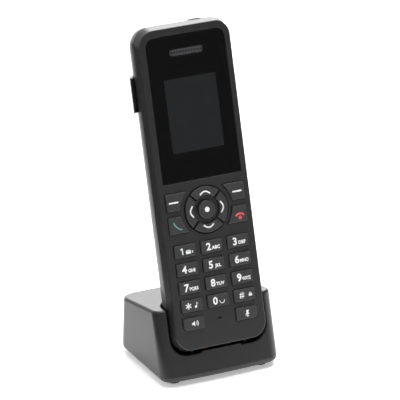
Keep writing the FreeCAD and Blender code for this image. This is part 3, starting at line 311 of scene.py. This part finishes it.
# %% [markdown]
# ## Each CAD part gets its finish
# A CAD part keeps its shape; only the material in its slot changes. One table says which
# finish each part has, and a check at its end finds any part that was forgotten.

# %% Dress the CAD parts
FINISH = {
    case_abs: ("front_case", "rear_case", "battery_door"),
    clip_abs: ("belt_clip",),
    window_finish: ("display_window",),
    cradle_abs: ("cradle_shell", "cradle_base_plate"),
    grille_abs: ("earpiece_grille",),
    rubber: ("cradle_feet", "keypad_mat", "jack_cover"),
    socket_nylon: ("headset_jack", "cradle_contact_carrier", "earpiece", "microphone",
                   "loudspeaker", "display_module"),
    gold_plate: ("charge_pads", "cradle_contact_left", "cradle_contact_right"),
    tin_plate: ("shield_can", "antenna", "cradle_usb_inlet", "battery_contacts"),
    black_steel: ("case_screws", "cradle_screws", "cradle_ballast"),
    board_mask: ("main_board", "cradle_board"),
    cell_sleeve: ("battery_cells",),
    dome_film: ("dome_sheet",),
    smoked_lens: ("message_light",),
    key_abs: tuple(joint["child"] for joint in frame["joints"]
                   if joint["child"].startswith(("key_", "soft_", "nav_"))
                   or joint["child"].endswith("_key")),
}
for finish, names in FINISH.items():
    for name in names:
        mesh = nodes[name].data
        mesh.materials.clear()
        mesh.materials.append(finish)
print("keys:", len(FINISH[key_abs]), "parts without a finish:",
      sorted(set(nodes) - {name for names in FINISH.values() for name in names}))

# %% [markdown]
# ## Drawing a sign
# The signs are printed on the keys with a rubber pad, which leaves a film of ink a few
# hundredths of a millimetre thick. Each sign is drawn flat, in millimetres, round its own
# middle: letters and digits come from Blender's own font, lines from a curve with a round
# section that is then pressed flat, and patches from a filled outline. All of them are turned
# into meshes before they are placed, because a finished piece has its place in its mesh.

# %% Lines, patches and letters
INK = 0.02                      # mm that a sign stands proud of its key


def as_mesh(curve, flatten=1.0):
    """The mesh that a drawn curve makes, pressed flat by a share of its thickness."""
    drawing = bpy.data.objects.new("drawing", curve)
    bpy.context.scene.collection.objects.link(drawing)
    graph = bpy.context.evaluated_depsgraph_get()
    mesh = bpy.data.meshes.new_from_object(drawing.evaluated_get(graph))
    mesh.transform(Matrix.Diagonal((1.0, 1.0, flatten, 1.0)))
    bpy.data.objects.remove(drawing)
    bpy.data.curves.remove(curve)
    return mesh


def drawn(points, closed, **settings):
    """A curve through flat points."""
    curve = bpy.data.curves.new("drawing", "CURVE")
    for name, value in settings.items():
        setattr(curve, name, value)
    spline = curve.splines.new("POLY")
    spline.points.add(len(points) - 1)
    for point, (x, y) in zip(spline.points, points):
        point.co = (x, y, 0.0, 1.0)
    spline.use_cyclic_u = closed
    return curve


def line(points, width, closed=False):
    """A printed line of a given width."""
    curve = drawn(points, closed, dimensions="3D", bevel_depth=width / 2, bevel_resolution=1,
                  use_fill_caps=True)
    return as_mesh(curve, INK / (width / 2))


def patch(points):
    """A printed patch that fills an outline."""
    return as_mesh(drawn(points, True, dimensions="2D", fill_mode="BOTH", extrude=INK))


def arc(radius, start, stop, x=0.0, y=0.0, steps=12):
    """Points round a circle; angles in degrees, anticlockwise from the right."""
    turns = [math.radians(start + (stop - start) * step / steps) for step in range(steps + 1)]
    return [(x + radius * math.cos(turn), y + radius * math.sin(turn)) for turn in turns]


def typed(text, size, weight=0.0):
    curve = bpy.data.curves.new("letters", "FONT")
    curve.body = text
    curve.size = size
    curve.offset = weight
    curve.extrude = INK
    curve.resolution_u = 3
    return as_mesh(curve)


CAP_HEIGHT = max(vertex.co.y for vertex in typed("H", 1.0).vertices)
print("a capital is", round(CAP_HEIGHT, 3), "of the type size")


def letters(text, height, widest, weight):
    """Type whose capitals are height mm tall, narrowed to fit, round its own middle."""
    mesh = typed(text, height / CAP_HEIGHT, weight)
    reach = [vertex.co.x for vertex in mesh.vertices]
    width = max(reach) - min(reach)
    mesh.transform(Matrix.Translation((-min(reach) - width / 2, -height / 2, 0.0)))
    mesh.transform(Matrix.Diagonal((min(1.0, widest / width), 1.0, 1.0, 1.0)))
    return mesh


# %% [markdown]
# ## Laying a sign on its key
# A sign has to move with its key, so each key's signs are one piece that rides on that key's
# body. The key's own box says where its front is.

# %% Print signs on a key
def lay_signs(name, body, signs, ink, place):
    """Joins signs, each a mesh and where it goes in mm, and lays them at a place."""
    sheet = bmesh.new()
    for mesh, across, up in signs:
        mesh.transform(Matrix.Translation((across, up, 0.0)))
        sheet.from_mesh(mesh)
        bpy.data.meshes.remove(mesh)
    printed = bpy.data.meshes.new(name)
    sheet.to_mesh(printed)
    sheet.free()
    printed.transform(place @ Matrix.Scale(MM, 4))
    printed.materials.clear()
    printed.materials.append(ink)
    piece = bpy.data.objects.new(name, printed)
    bpy.context.scene.collection.objects.link(piece)
    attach(piece, body)


def print_signs(key, signs, ink, middle=None):
    """Signs on the front of a key, round its own middle or another."""
    low, high = leaning_box(key)
    x, z = middle or ((low.x + high.x) / 2, (low.z + high.z) / 2)
    lay_signs(key + "_sign", key, signs, ink, on_handset(x, low.y, z))


# %% [markdown]
# ## The number keys
# Every number key has its digit left of its middle and its letters right of it, on one line.
# The digits are bold, because they are read at arm's length; the letters are half as tall.

# %% Digits and letters
DIGIT = 3.6                     # mm tall
LETTER = 1.6
DIGIT_PLACE = -1.7              # from the key's middle to the digit's
LETTER_PLACE = 2.3
LETTER_DROP = -0.85             # so that digit and letters stand on one line
LETTERS = {"2": "ABC", "3": "DEF", "4": "GHI", "5": "JKL", "6": "MNO", "7": "PQRS", "8": "TUV",
           "9": "WXYZ"}


def digit(text):
    """A bold digit; the one has a flag, so that it isn't read as a bar."""
    if text == "1":
        return line([(-0.75, 0.85), (0.2, 1.5), (0.2, -1.7)], 0.75)
    return letters(text, DIGIT, 2.9, 0.16)


for number, group in LETTERS.items():
    print_signs("key_" + number, [(digit(number), DIGIT_PLACE, 0.0),
                                  (letters(group, LETTER, 4.9, 0.10), LETTER_PLACE,
                                   LETTER_DROP)], white_ink)
print("number keys printed:", len(LETTERS))

# %% [markdown]
# ## The other signs
# The remaining keys carry small pictures that every telephone has: an envelope for messages,
# a note for the ringer, a padlock for the key lock, a loudspeaker, and a crossed microphone.
# Each is a few lines, arcs and patches.

# %% Signs of the pad's other keys
def envelope():
    flap = patch([(-1.2, 0.95), (1.2, 0.95), (0.0, 0.2)])
    body = patch([(-1.35, -0.95), (1.35, -0.95), (1.35, 0.8), (0.0, -0.05), (-1.35, 0.8)])
    cursor = line([(0.0, -0.8), (0.0, 0.5)], 0.55)
    return [(flap, 1.7, -0.7), (body, 1.7, -0.7), (cursor, 4.0, -0.7)]


def asterisk():
    return [(line([(1.7 * math.cos(turn), 1.7 * math.sin(turn)),
                   (-1.7 * math.cos(turn), -1.7 * math.sin(turn))], 0.6), -2.0, 0.0)
            for turn in (math.radians(angle) for angle in (30, 90, 150))]


def music_note():
    return [(patch(arc(0.65, 0, 360, -0.35, -0.9)), 2.4, 0.0),
            (line([(0.2, -0.9), (0.2, 1.2), (0.95, 0.6)], 0.5), 2.4, 0.0)]


def space_mark():
    return [(line([(-1.35, 0.35)] + arc(1.2, 205, 335, 0.0, 0.1) + [(1.35, 0.35)], 0.4), 2.1, -0.6)]


def number_sign():
    bars = [[(-1.4, level), (1.4, level)] for level in (-0.6, 0.6)]
    bars += [[(side - 0.3, -1.6), (side + 0.3, 1.6)] for side in (-0.6, 0.6)]
    return [(line(bar, 0.42), -1.5, 0.0) for bar in bars]


def padlock():
    body = patch([(-0.95, -1.0), (0.95, -1.0), (0.95, 0.2), (-0.95, 0.2)])
    return [(body, 3.3, 0.0), (line(arc(0.6, 0, 180, 0.0, 0.2), 0.32), 3.3, 0.0)]


def loudspeaker_sign():
    horn = patch([(-1.7, -0.55), (-0.9, -0.55), (0.0, -1.4),
                  (0.0, 1.4), (-0.9, 0.55), (-1.7, 0.55)])
    waves = [line(arc(radius, -48, 48, 0.1), 0.38) for radius in (0.95, 1.75)]
    return [(shape, 0.4, 0.0) for shape in [horn] + waves]


def crossed_microphone():
    capsule = patch(arc(0.55, 0, 180, 0.0, 1.0) + arc(0.55, 180, 360, 0.0, -0.1))
    parts = [capsule, line(arc(0.95, 190, 350, 0.0, 0.1), 0.3),
             line([(0.0, -0.9), (0.0, -1.6)], 0.36),
             line([(-0.65, -1.65), (0.65, -1.65)], 0.36), line([(-1.2, -1.3), (1.1, 1.5)], 0.32)]
    return [(shape, 0.4, 0.0) for shape in parts]


print_signs("key_1", [(digit("1"), DIGIT_PLACE, 0.0)] + envelope(), white_ink)
print_signs("key_star", asterisk() + music_note(), white_ink)
print_signs("key_0", [(digit("0"), DIGIT_PLACE, 0.0)] + space_mark(), white_ink)
print_signs("key_hash", number_sign() + padlock(), white_ink)
print_signs("speaker_key", loudspeaker_sign(), white_ink)
print_signs("mute_key", crossed_microphone(), white_ink)
print("pad keys printed")

# %% [markdown]
# ## The direction ring and the keys beside it
# The four direction keys carry the same bent line, a quarter turn apart, so it is drawn once
# and turned. The keys beside the ring have a dash for what the display offers, a green
# receiver to call and a red one, laid down over a ring, to hang up.

# %% Signs round the direction ring
low, high = leaning_box("select_key")
RING_MIDDLE = ((low.x + high.x) / 2, (low.z + high.z) / 2)
CHEVRON = [(-2.9, 7.8), (-1.5, 8.8), (-0.8, 9.15), (0.0, 9.25), (0.8, 9.15), (1.5, 8.8), (2.9, 7.8)]
SIDE_SIGN = 17.9                # mm from the ring's middle to a side key's sign, across
SOFT_SIGN = 6.3                 # and up
CALL_SIGN = -6.3


def turned(points, degrees):
    """Points turned clockwise about the middle."""
    c, s = math.cos(math.radians(degrees)), math.sin(math.radians(degrees))
    return [(x * c + y * s, y * c - x * s) for x, y in points]


for quarter, side in enumerate(("up", "right", "down", "left")):
    print_signs("nav_" + side + "_key", [(line(turned(CHEVRON, 90 * quarter), 0.75), 0.0, 0.0)],
                white_ink, RING_MIDDLE)
print_signs("select_key", [(patch(arc(1.35, 0, 360, steps=24)), 0.0, 0.0)], white_ink, RING_MIDDLE)
for side, name in ((-1, "soft_key_left"), (1, "soft_key_right")):
    dash = line([(-2.6, 0.0), (2.6, 0.0)], 0.8)
    print_signs(name, [(dash, side * SIDE_SIGN, SOFT_SIGN)], white_ink, RING_MIDDLE)

receiver = [(-2.1, 2.2), (-1.8, 1.1), (-1.2, 0.2), (-0.4, -0.6),
            (0.5, -1.3), (1.3, -1.7), (2.2, -1.9)]
print_signs("call_key", [(line(receiver, 0.7), -SIDE_SIGN + 0.8, CALL_SIGN + 0.4)], green_ink,
            RING_MIDDLE)
laid_down = [(line(arc(3.1, 40, 140, 0.0, -2.1), 0.95), SIDE_SIGN, CALL_SIGN),
             (line(arc(0.8, 0, 360, 0.0, -1.1), 0.4, True), SIDE_SIGN, CALL_SIGN),
             (patch(arc(0.35, 0, 360, 0.0, -1.1)), SIDE_SIGN, CALL_SIGN)]
print_signs("end_key", laid_down, red_ink, RING_MIDDLE)

# %% [markdown]
# ## Growing fine parts with Geometry Nodes
# Some parts repeat one small thing many times, or wind it round: woven cloth, coil springs,
# grip ribs and socket contacts. A Geometry Nodes tree makes these from a few named sizes. Each
# tree below is built once, its sizes are set for one part, and what it makes is kept as a plain
# mesh, laid in place.

# %% Helpers for Geometry Nodes trees
def shape_tree(name, **sizes):
    """A tree with an input for each size and its finish: the tree and its inputs."""
    tree = bpy.data.node_groups.new(name, "GeometryNodeTree")
    for size, value in sizes.items():
        kind = "NodeSocketInt" if isinstance(value, int) else "NodeSocketFloat"
        tree.interface.new_socket(size, in_out="INPUT", socket_type=kind).default_value = value
    tree.interface.new_socket("Finish", in_out="INPUT", socket_type="NodeSocketMaterial")
    tree.interface.new_socket("Shape", in_out="OUTPUT", socket_type="NodeSocketGeometry")
    return tree, tree.nodes.new("NodeGroupInput").outputs


def end_tree(tree, geometry, finish):
    """Real geometry with its material: the end of every tree."""
    real = add(tree, "GeometryNodeRealizeInstances", Geometry=geometry)
    dressed = add(tree, "GeometryNodeSetMaterial", Geometry=real.outputs[0], Material=finish)
    add(tree, "NodeGroupOutput", Shape=dressed.outputs[0])
    return tree


def calculate(tree, operation, first, second=0.0, third=0.0):
    """One step of arithmetic."""
    return add(tree, "ShaderNodeMath", {"operation": operation}, n0=first, n1=second,
               n2=third).outputs[0]


def grown(name, tree, finish, place, body, **sizes):
    """What a tree makes, with its sizes in mm, as a plain mesh that rides on a body."""
    piece = bpy.data.objects.new(name, bpy.data.meshes.new(name))
    bpy.context.scene.collection.objects.link(piece)
    modifier = piece.modifiers.new(name, "NODES")
    modifier.node_group = tree
    for socket in tree.interface.items_tree:
        value = finish if socket.name == "Finish" else sizes.get(socket.name)
        if socket.in_out == "INPUT" and value is not None:
            modifier[socket.identifier] = value
    graph = bpy.context.evaluated_depsgraph_get()
    shape = bpy.data.meshes.new_from_object(piece.evaluated_get(graph))
    piece.modifiers.remove(modifier)
    shape.transform(place @ Matrix.Scale(MM, 4))
    piece.data = shape
    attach(piece, body)
    print(name, len(shape.polygons), "faces")
    return piece


# %% [markdown]
# ## Woven cloth
# A black cloth keeps dust out of the loudspeaker and the earpiece. Threads run up and across at
# the same pitch. One wave in both directions, lifted by the cosine of each, makes every thread
# pass over one neighbour and under the next; the crossing threads take the opposite wave.

# %% The weave
def threads(tree, sizes, along, across, crossing):
    """One set of parallel threads, waving up and down between the crossing ones."""
    pitch = sizes["Pitch"]
    length = calculate(tree, "MULTIPLY", calculate(tree, "ADD", sizes[along], 1.0), pitch)
    start = add(tree, "ShaderNodeCombineXYZ", Y=calculate(tree, "MULTIPLY", length, -0.5))
    end = add(tree, "ShaderNodeCombineXYZ", Y=calculate(tree, "MULTIPLY", length, 0.5))
    thread = add(tree, "GeometryNodeCurvePrimitiveLine", Start=start.outputs[0],
                 End=end.outputs[0])
    stops = calculate(tree, "MULTIPLY_ADD", sizes[along], 4.0, 5.0)
    fine = add(tree, "GeometryNodeResampleCurve", Curve=thread.outputs[0], Count=stops)
    side = calculate(tree, "MULTIPLY", calculate(tree, "SUBTRACT", sizes[across], 1.0), pitch)
    first = add(tree, "ShaderNodeCombineXYZ", X=calculate(tree, "MULTIPLY", side, -0.5))
    step = add(tree, "ShaderNodeCombineXYZ", X=pitch)
    row = add(tree, "GeometryNodeMeshLine", Count=sizes[across], Start_Location=first.outputs[0],
              Offset=step.outputs[0])
    copies = add(tree, "GeometryNodeInstanceOnPoints", Points=row.outputs[0],
                 Instance=fine.outputs[0])
    laid = add(tree, "GeometryNodeRealizeInstances", Geometry=copies.outputs[0]).outputs[0]
    if crossing:
        laid = add(tree, "GeometryNodeTransform", Geometry=laid,
                   Rotation=(0.0, 0.0, math.pi / 2)).outputs[0]
    place = add(tree, "ShaderNodeSeparateXYZ",
                Vector=add(tree, "GeometryNodeInputPosition").outputs[0]).outputs
    waves = [calculate(tree, "COSINE", calculate(tree, "MULTIPLY", math.pi, calculate(
        tree, "DIVIDE", place[axis], pitch))) for axis in (0, 1)]
    height = calculate(tree, "MULTIPLY", sizes["Thread"], -0.5 if crossing else 0.5)
    lift = calculate(tree, "MULTIPLY", calculate(tree, "MULTIPLY", *waves), height)
    moved = add(tree, "GeometryNodeSetPosition", Geometry=laid,
                Offset=add(tree, "ShaderNodeCombineXYZ", Z=lift).outputs[0])
    section = add(tree, "GeometryNodeCurvePrimitiveCircle", Resolution=6,
                  Radius=calculate(tree, "MULTIPLY", sizes["Thread"], 0.5))
    return add(tree, "GeometryNodeCurveToMesh", Curve=moved.outputs[0],
               Profile_Curve=section.outputs[0]).outputs[0]


weave, sizes = shape_tree("weave", **{"Across": 21, "Up": 17, "Pitch": 0.6, "Thread": 0.3})
both = add(weave, "GeometryNodeJoinGeometry")
weave.links.new(threads(weave, sizes, "Up", "Across", False), both.inputs[0])
weave.links.new(threads(weave, sizes, "Across", "Up", True), both.inputs[0])
end_tree(weave, both.outputs[0], sizes["Finish"])

cloth = moulded_plastic("polyester_woven_cloth", "101011", 0.8, 0.1, 0.02, edge_highlight=0.0)
low, high = leaning_box("loudspeaker")
grown("speaker_cloth", weave, cloth,
      on_handset(0.0, high.y + 0.1 * MM, (low.z + high.z) / 2), "handset", Across=23, Up=17)
low, high = leaning_box("earpiece_grille")
grown("earpiece_cloth", weave, cloth, on_handset(0.0, high.y - 0.1 * MM, (low.z + high.z) / 2),
      "handset", Across=int((high.x - low.x) / MM / 0.4) // 2 * 2 - 3, Up=5, Pitch=0.4, Thread=0.2)

# %% [markdown]
# ## Painted shade at the earpiece's holes
# The strip over the earpiece has eleven holes less than a millimetre wide. Flat black rings at
# their mouths are painted shade, added so that holes this small can be read; the real strip may
# have none.

# %% Painted shade rings at the hole mouths
HOLES = 11
HOLE_PITCH = 1.63               # mm
MOUTH = 0.56                    # radius
low, high = leaning_box("earpiece_grille")
# Painted shade: a flat black ring in the cloth's colour round each hole's mouth.
shade_rings = [(line(arc(MOUTH * 0.8, 0, 360), MOUTH * 0.4, True),
           (index - (HOLES - 1) / 2) * HOLE_PITCH, 0.0) for index in range(HOLES)]
lay_signs("earpiece_hole_painted_shade", "handset", shade_rings, cloth,
          on_handset((low.x + high.x) / 2, low.y, (low.z + high.z) / 2))
print("hole mouths:", HOLES)

# %% [markdown]
# ## Battery springs
# Each cell's flat end presses on a cone-shaped coil spring, and its button end on a raised
# dimple. A spiral curve is wound into wire by giving it a round section. The two end radii
# make the cone. These springs stand for the plain cones of the CAD model.

# %% Coil springs
coil, sizes = shape_tree("coil", **{"Turns": 3.5, "Wide": 3.0, "Narrow": 1.9, "Height": 3.0,
                                    "Wire": 0.5, "Plate": 8.0})
spiral = add(coil, "GeometryNodeCurveSpiral", Resolution=28, Rotations=sizes["Turns"],
             Start_Radius=sizes["Wide"], End_Radius=sizes["Narrow"], Height=sizes["Height"])
section = add(coil, "GeometryNodeCurvePrimitiveCircle", Resolution=10,
              Radius=calculate(coil, "MULTIPLY", sizes["Wire"], 0.5))
wire = add(coil, "GeometryNodeCurveToMesh", Curve=spiral.outputs[0],
           Profile_Curve=section.outputs[0], Fill_Caps=True)
smooth = add(coil, "GeometryNodeSetShadeSmooth", Geometry=wire.outputs[0])
block = add(coil, "ShaderNodeCombineXYZ", X=sizes["Plate"], Y=sizes["Plate"], Z=0.4)
plate = add(coil, "GeometryNodeMeshCube", Size=block.outputs[0])
seat = add(coil, "ShaderNodeCombineXYZ", Z=calculate(coil, "MULTIPLY", sizes["Wire"], -0.5))
seated = add(coil, "GeometryNodeTransform", Geometry=plate.outputs[0], Translation=seat.outputs[0])
both = add(coil, "GeometryNodeJoinGeometry")
coil.links.new(smooth.outputs[0], both.inputs[0])
coil.links.new(seated.outputs[0], both.inputs[0])
end_tree(coil, both.outputs[0], sizes["Finish"])

CONTACTS = leaning_box("battery_contacts")
CELLS = leaning_box("battery_cells")
cell_reach = (CELLS[1].x - CELLS[0].x) / 4
cell_depth = (CELLS[0].y + CELLS[1].y) / 2
ROOM = (CELLS[0].z - CONTACTS[0].z) / MM
TURN = Matrix.Rotation(math.pi / 2, 4, "X")
first_contact = None
for side in (-1, 1):
    for end, way in ((CONTACTS[0].z, 1), (CONTACTS[1].z, -1)):
        spring = side == -way
        flat_plate = 0.2 * MM * way
        place = on_handset(side * cell_reach, cell_depth, end + 2 * flat_plate) @ (
            TURN.inverted() if way > 0 else TURN)
        name = "contact_%s_%s" % ("left" if side < 0 else "right", "low" if way > 0 else "high")
        piece = grown(name, coil, spring_steel, place, "handset",
                      Turns=4.5 if spring else 1.5, Wide=3.0 if spring else 1.6,
                      Narrow=1.9 if spring else 0.5, Height=ROOM - (0.75 if spring else 1.6))
        if first_contact is None:
            first_contact = piece
            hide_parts("battery_contacts")
print("room at a cell's end:", round(ROOM, 2), "mm")

# %% [markdown]
# ## Ribs and contact strips
# A thumb lifts the belt clip by its lower end, where moulded ribs give a grip. The power
# socket has five gold strips on its tongue. Both are one bar, repeated: its ends taper, and a
# factor presses it flat.

# %% Bars in a row
bars, sizes = shape_tree("bars", **{"Count": 5, "Pitch": 1.7, "Length": 18.0, "Width": 0.8,
                                    "Flat": 0.6})
half = calculate(bars, "MULTIPLY", sizes["Length"], 0.5)
left = add(bars, "ShaderNodeCombineXYZ", X=calculate(bars, "MULTIPLY", half, -1.0))
right = add(bars, "ShaderNodeCombineXYZ", X=half)
centre_line = add(bars, "GeometryNodeCurvePrimitiveLine", Start=left.outputs[0],
                  End=right.outputs[0])
fine = add(bars, "GeometryNodeResampleCurve", Curve=centre_line.outputs[0], Count=41)
to_end = calculate(bars, "PINGPONG", add(bars, "GeometryNodeSplineParameter").outputs["Factor"],
                   0.5)
taper = add(bars, "ShaderNodeMapRange", {"interpolation_type": "SMOOTHSTEP"}, Value=to_end,
            From_Min=0.0, From_Max=0.08, To_Min=0.15, To_Max=1.0)
shaped = add(bars, "GeometryNodeSetCurveRadius", Curve=fine.outputs[0],
             Radius=taper.outputs["Result"])
section = add(bars, "GeometryNodeCurvePrimitiveCircle", Resolution=12,
              Radius=calculate(bars, "MULTIPLY", sizes["Width"], 0.5))
round_bar = add(bars, "GeometryNodeCurveToMesh", Curve=shaped.outputs[0],
                Profile_Curve=section.outputs[0], Scale=taper.outputs["Result"], Fill_Caps=True)
squeeze = add(bars, "ShaderNodeCombineXYZ", X=1.0, Y=1.0, Z=sizes["Flat"])
bar = add(bars, "GeometryNodeTransform", Geometry=round_bar.outputs[0], Scale=squeeze.outputs[0])
step = add(bars, "ShaderNodeCombineXYZ", Y=sizes["Pitch"])
row = add(bars, "GeometryNodeMeshLine", Count=sizes["Count"], Offset=step.outputs[0])
copies = add(bars, "GeometryNodeInstanceOnPoints", Points=row.outputs[0], Instance=bar.outputs[0])
smooth = add(bars, "GeometryNodeSetShadeSmooth", Geometry=copies.outputs[0])
end_tree(bars, smooth.outputs[0], sizes["Finish"])

low, high = leaning_box("belt_clip")
grown("clip_grip_ribs", bars, clip_abs, on_handset(0.0, high.y, low.z + 3 * MM), "belt_clip")
lowest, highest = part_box("cradle_usb_inlet")
middle = (lowest + highest) / 2
strips = Matrix.Translation((-1.3 * MM, highest.y - 2.2 * MM, middle.z + 0.35 * MM))
grown("inlet_contacts", bars, gold_plate, strips @ Matrix.Rotation(-math.pi / 2, 4, "Z"),
      "cradle", Count=5, Pitch=0.65, Length=2.6, Width=0.35, Flat=0.4)

# %% [markdown]
# ## Marks on the cells
# The two cells lie head to tail. A plus and a minus on each say which way round it goes. They
# face the door, so the drawing is turned to be read from behind.

# %% Plus and minus
for side in (-1, 1):
    for end, way in ((CELLS[0].z, 1), (CELLS[1].z, -1)):
        marks = [(line([(-0.9, 0.0), (0.9, 0.0)], 0.4), 0.0, 0.0)]
        if side == way:
            marks.append((line([(0.0, -0.9), (0.0, 0.9)], 0.4), 0.0, 0.0))
        place = on_handset(side * cell_reach, CELLS[1].y - INK * MM, end + way * 5 * MM)
        lay_signs("cell_mark_%s_%s" % ("left" if side < 0 else "right",
                                       "low" if way > 0 else "high"),
                  "handset", marks, white_ink,
                  place @ Matrix.Rotation(math.pi, 4, "Y"))
print("cell marks: 4")

# %% [markdown]
# ## The studio
# The phone stands on white paper with soft lamps above and to the left. Glossy plastic shows
# mostly what it reflects, so the room matters as much as the lamps: it is dark in front, which
# keeps the face and the window black, and bright behind, which lights the top of the cradle. A
# black card lies on the floor behind and to the left, where only reflections see it: it keeps
# the handset's side dark. The paper glows a little, which softens the shadows.

# %% Floor, card, lamps and room
def flat_sheet(name, low, high, level, finish):
    """A flat rectangle that isn't part of the phone."""
    mesh = bpy.data.meshes.new(name)
    mesh.from_pydata([(low[0], low[1], level), (high[0], low[1], level),
                      (high[0], high[1], level), (low[0], high[1], level)], [], [(0, 1, 2, 3)])
    mesh.materials.append(finish)
    sheet = bpy.data.objects.new(name, mesh)
    bpy.context.scene.collection.objects.link(sheet)
    return sheet


PAPER_GLOW = 0.4
LAMP_ABOVE = 60.0                # watts
LAMP_LEFT = 5.0
LAMP_BEHIND = 14.0
ROOM_FRONT = 0.12
ROOM_BEHIND = 1.5

paper, tree, shader = new_material("paper_white_sweep", Roughness=0.9, Emission_Strength=PAPER_GLOW,
                                   Emission_Color=linear("ffffff"))
connect(tree, shader, Base_Color=mix(tree, noise(tree, 25.0), linear("f2f2f2"), linear("f8f8f8")))
flat_sheet("floor", (-6.0, -6.0), (6.0, 6.0), 0.0, paper)
card_finish, tree, shader = new_material("card_black", Roughness=1.0, Specular_IOR_Level=0.0)
connect(tree, shader, Base_Color=mix(tree, noise(tree, 1.0), linear("040404"), linear("0a0a0a")))
card = flat_sheet("card", (-0.9, -0.35), (-0.085, 1.0), 0.001, card_finish)
card.visible_camera = card.visible_diffuse = card.visible_shadow = False
card.visible_transmission = card.visible_volume_scatter = False


def soft_lamp(name, place, aim, width, watts):
    """A square lamp that points at a place."""
    data = bpy.data.lights.new(name, "AREA")
    data.shape = "SQUARE"
    data.size = width
    data.energy = watts
    lamp = bpy.data.objects.new(name, data)
    bpy.context.scene.collection.objects.link(lamp)
    lamp.location = place
    lamp.rotation_euler = (Vector(aim) - Vector(place)).to_track_quat("-Z", "Y").to_euler()


def room(front, behind):
    """How bright the room is in front of the phone and behind it."""
    world = bpy.data.worlds.new("studio")
    bpy.context.scene.world = world
    world.use_nodes = True
    tree = world.node_tree
    tree.nodes.clear()
    way = add(tree, "ShaderNodeTexCoord").outputs["Generated"]
    depth = add(tree, "ShaderNodeSeparateXYZ", Vector=way).outputs["Y"]
    level = spread(tree, depth, 0.1, 0.9, front, behind)
    light = add(tree, "ShaderNodeBackground", Strength=level)
    add(tree, "ShaderNodeOutputWorld", Surface=light.outputs["Background"])


phone_middle = (0.0, 0.0, 0.09)
soft_lamp("lamp_above", (0.35, 0.25, 2.0), phone_middle, 1.6, LAMP_ABOVE)
soft_lamp("lamp_left", (-1.5, -0.5, 1.2), phone_middle, 0.35, LAMP_LEFT)
soft_lamp("lamp_behind", (0.85, 1.65, 0.85), phone_middle, 0.9, LAMP_BEHIND)
room(ROOM_FRONT, ROOM_BEHIND)
bpy.context.scene.view_settings.view_transform = "Standard"
print("lamps in watts:", LAMP_ABOVE, LAMP_LEFT, LAMP_BEHIND)

# %% [markdown]
# ## The camera
# A long lens from far away keeps the phone's sides nearly parallel. The camera stands to the
# left of the phone and looks down on it.

# %% Camera
CAMERA_TURN = math.radians(-26.4)
CAMERA_RISE = math.radians(22.8)
CAMERA_DISTANCE = 1.8496
AIM = Vector((-0.008196, -0.023645, 0.09604))

data = bpy.data.cameras.new("camera")
data.lens = 331.3
data.sensor_width = 36.0
data.clip_end = 30.0
camera = bpy.data.objects.new("camera", data)
bpy.context.scene.collection.objects.link(camera)
way = Vector((math.sin(CAMERA_TURN) * math.cos(CAMERA_RISE),
              -math.cos(CAMERA_TURN) * math.cos(CAMERA_RISE), math.sin(CAMERA_RISE)))
camera.location = AIM + way * CAMERA_DISTANCE
camera.rotation_euler = (-way).to_track_quat("-Z", "Y").to_euler()
bpy.context.scene.camera = camera
print("camera at", [round(value, 3) for value in camera.location])
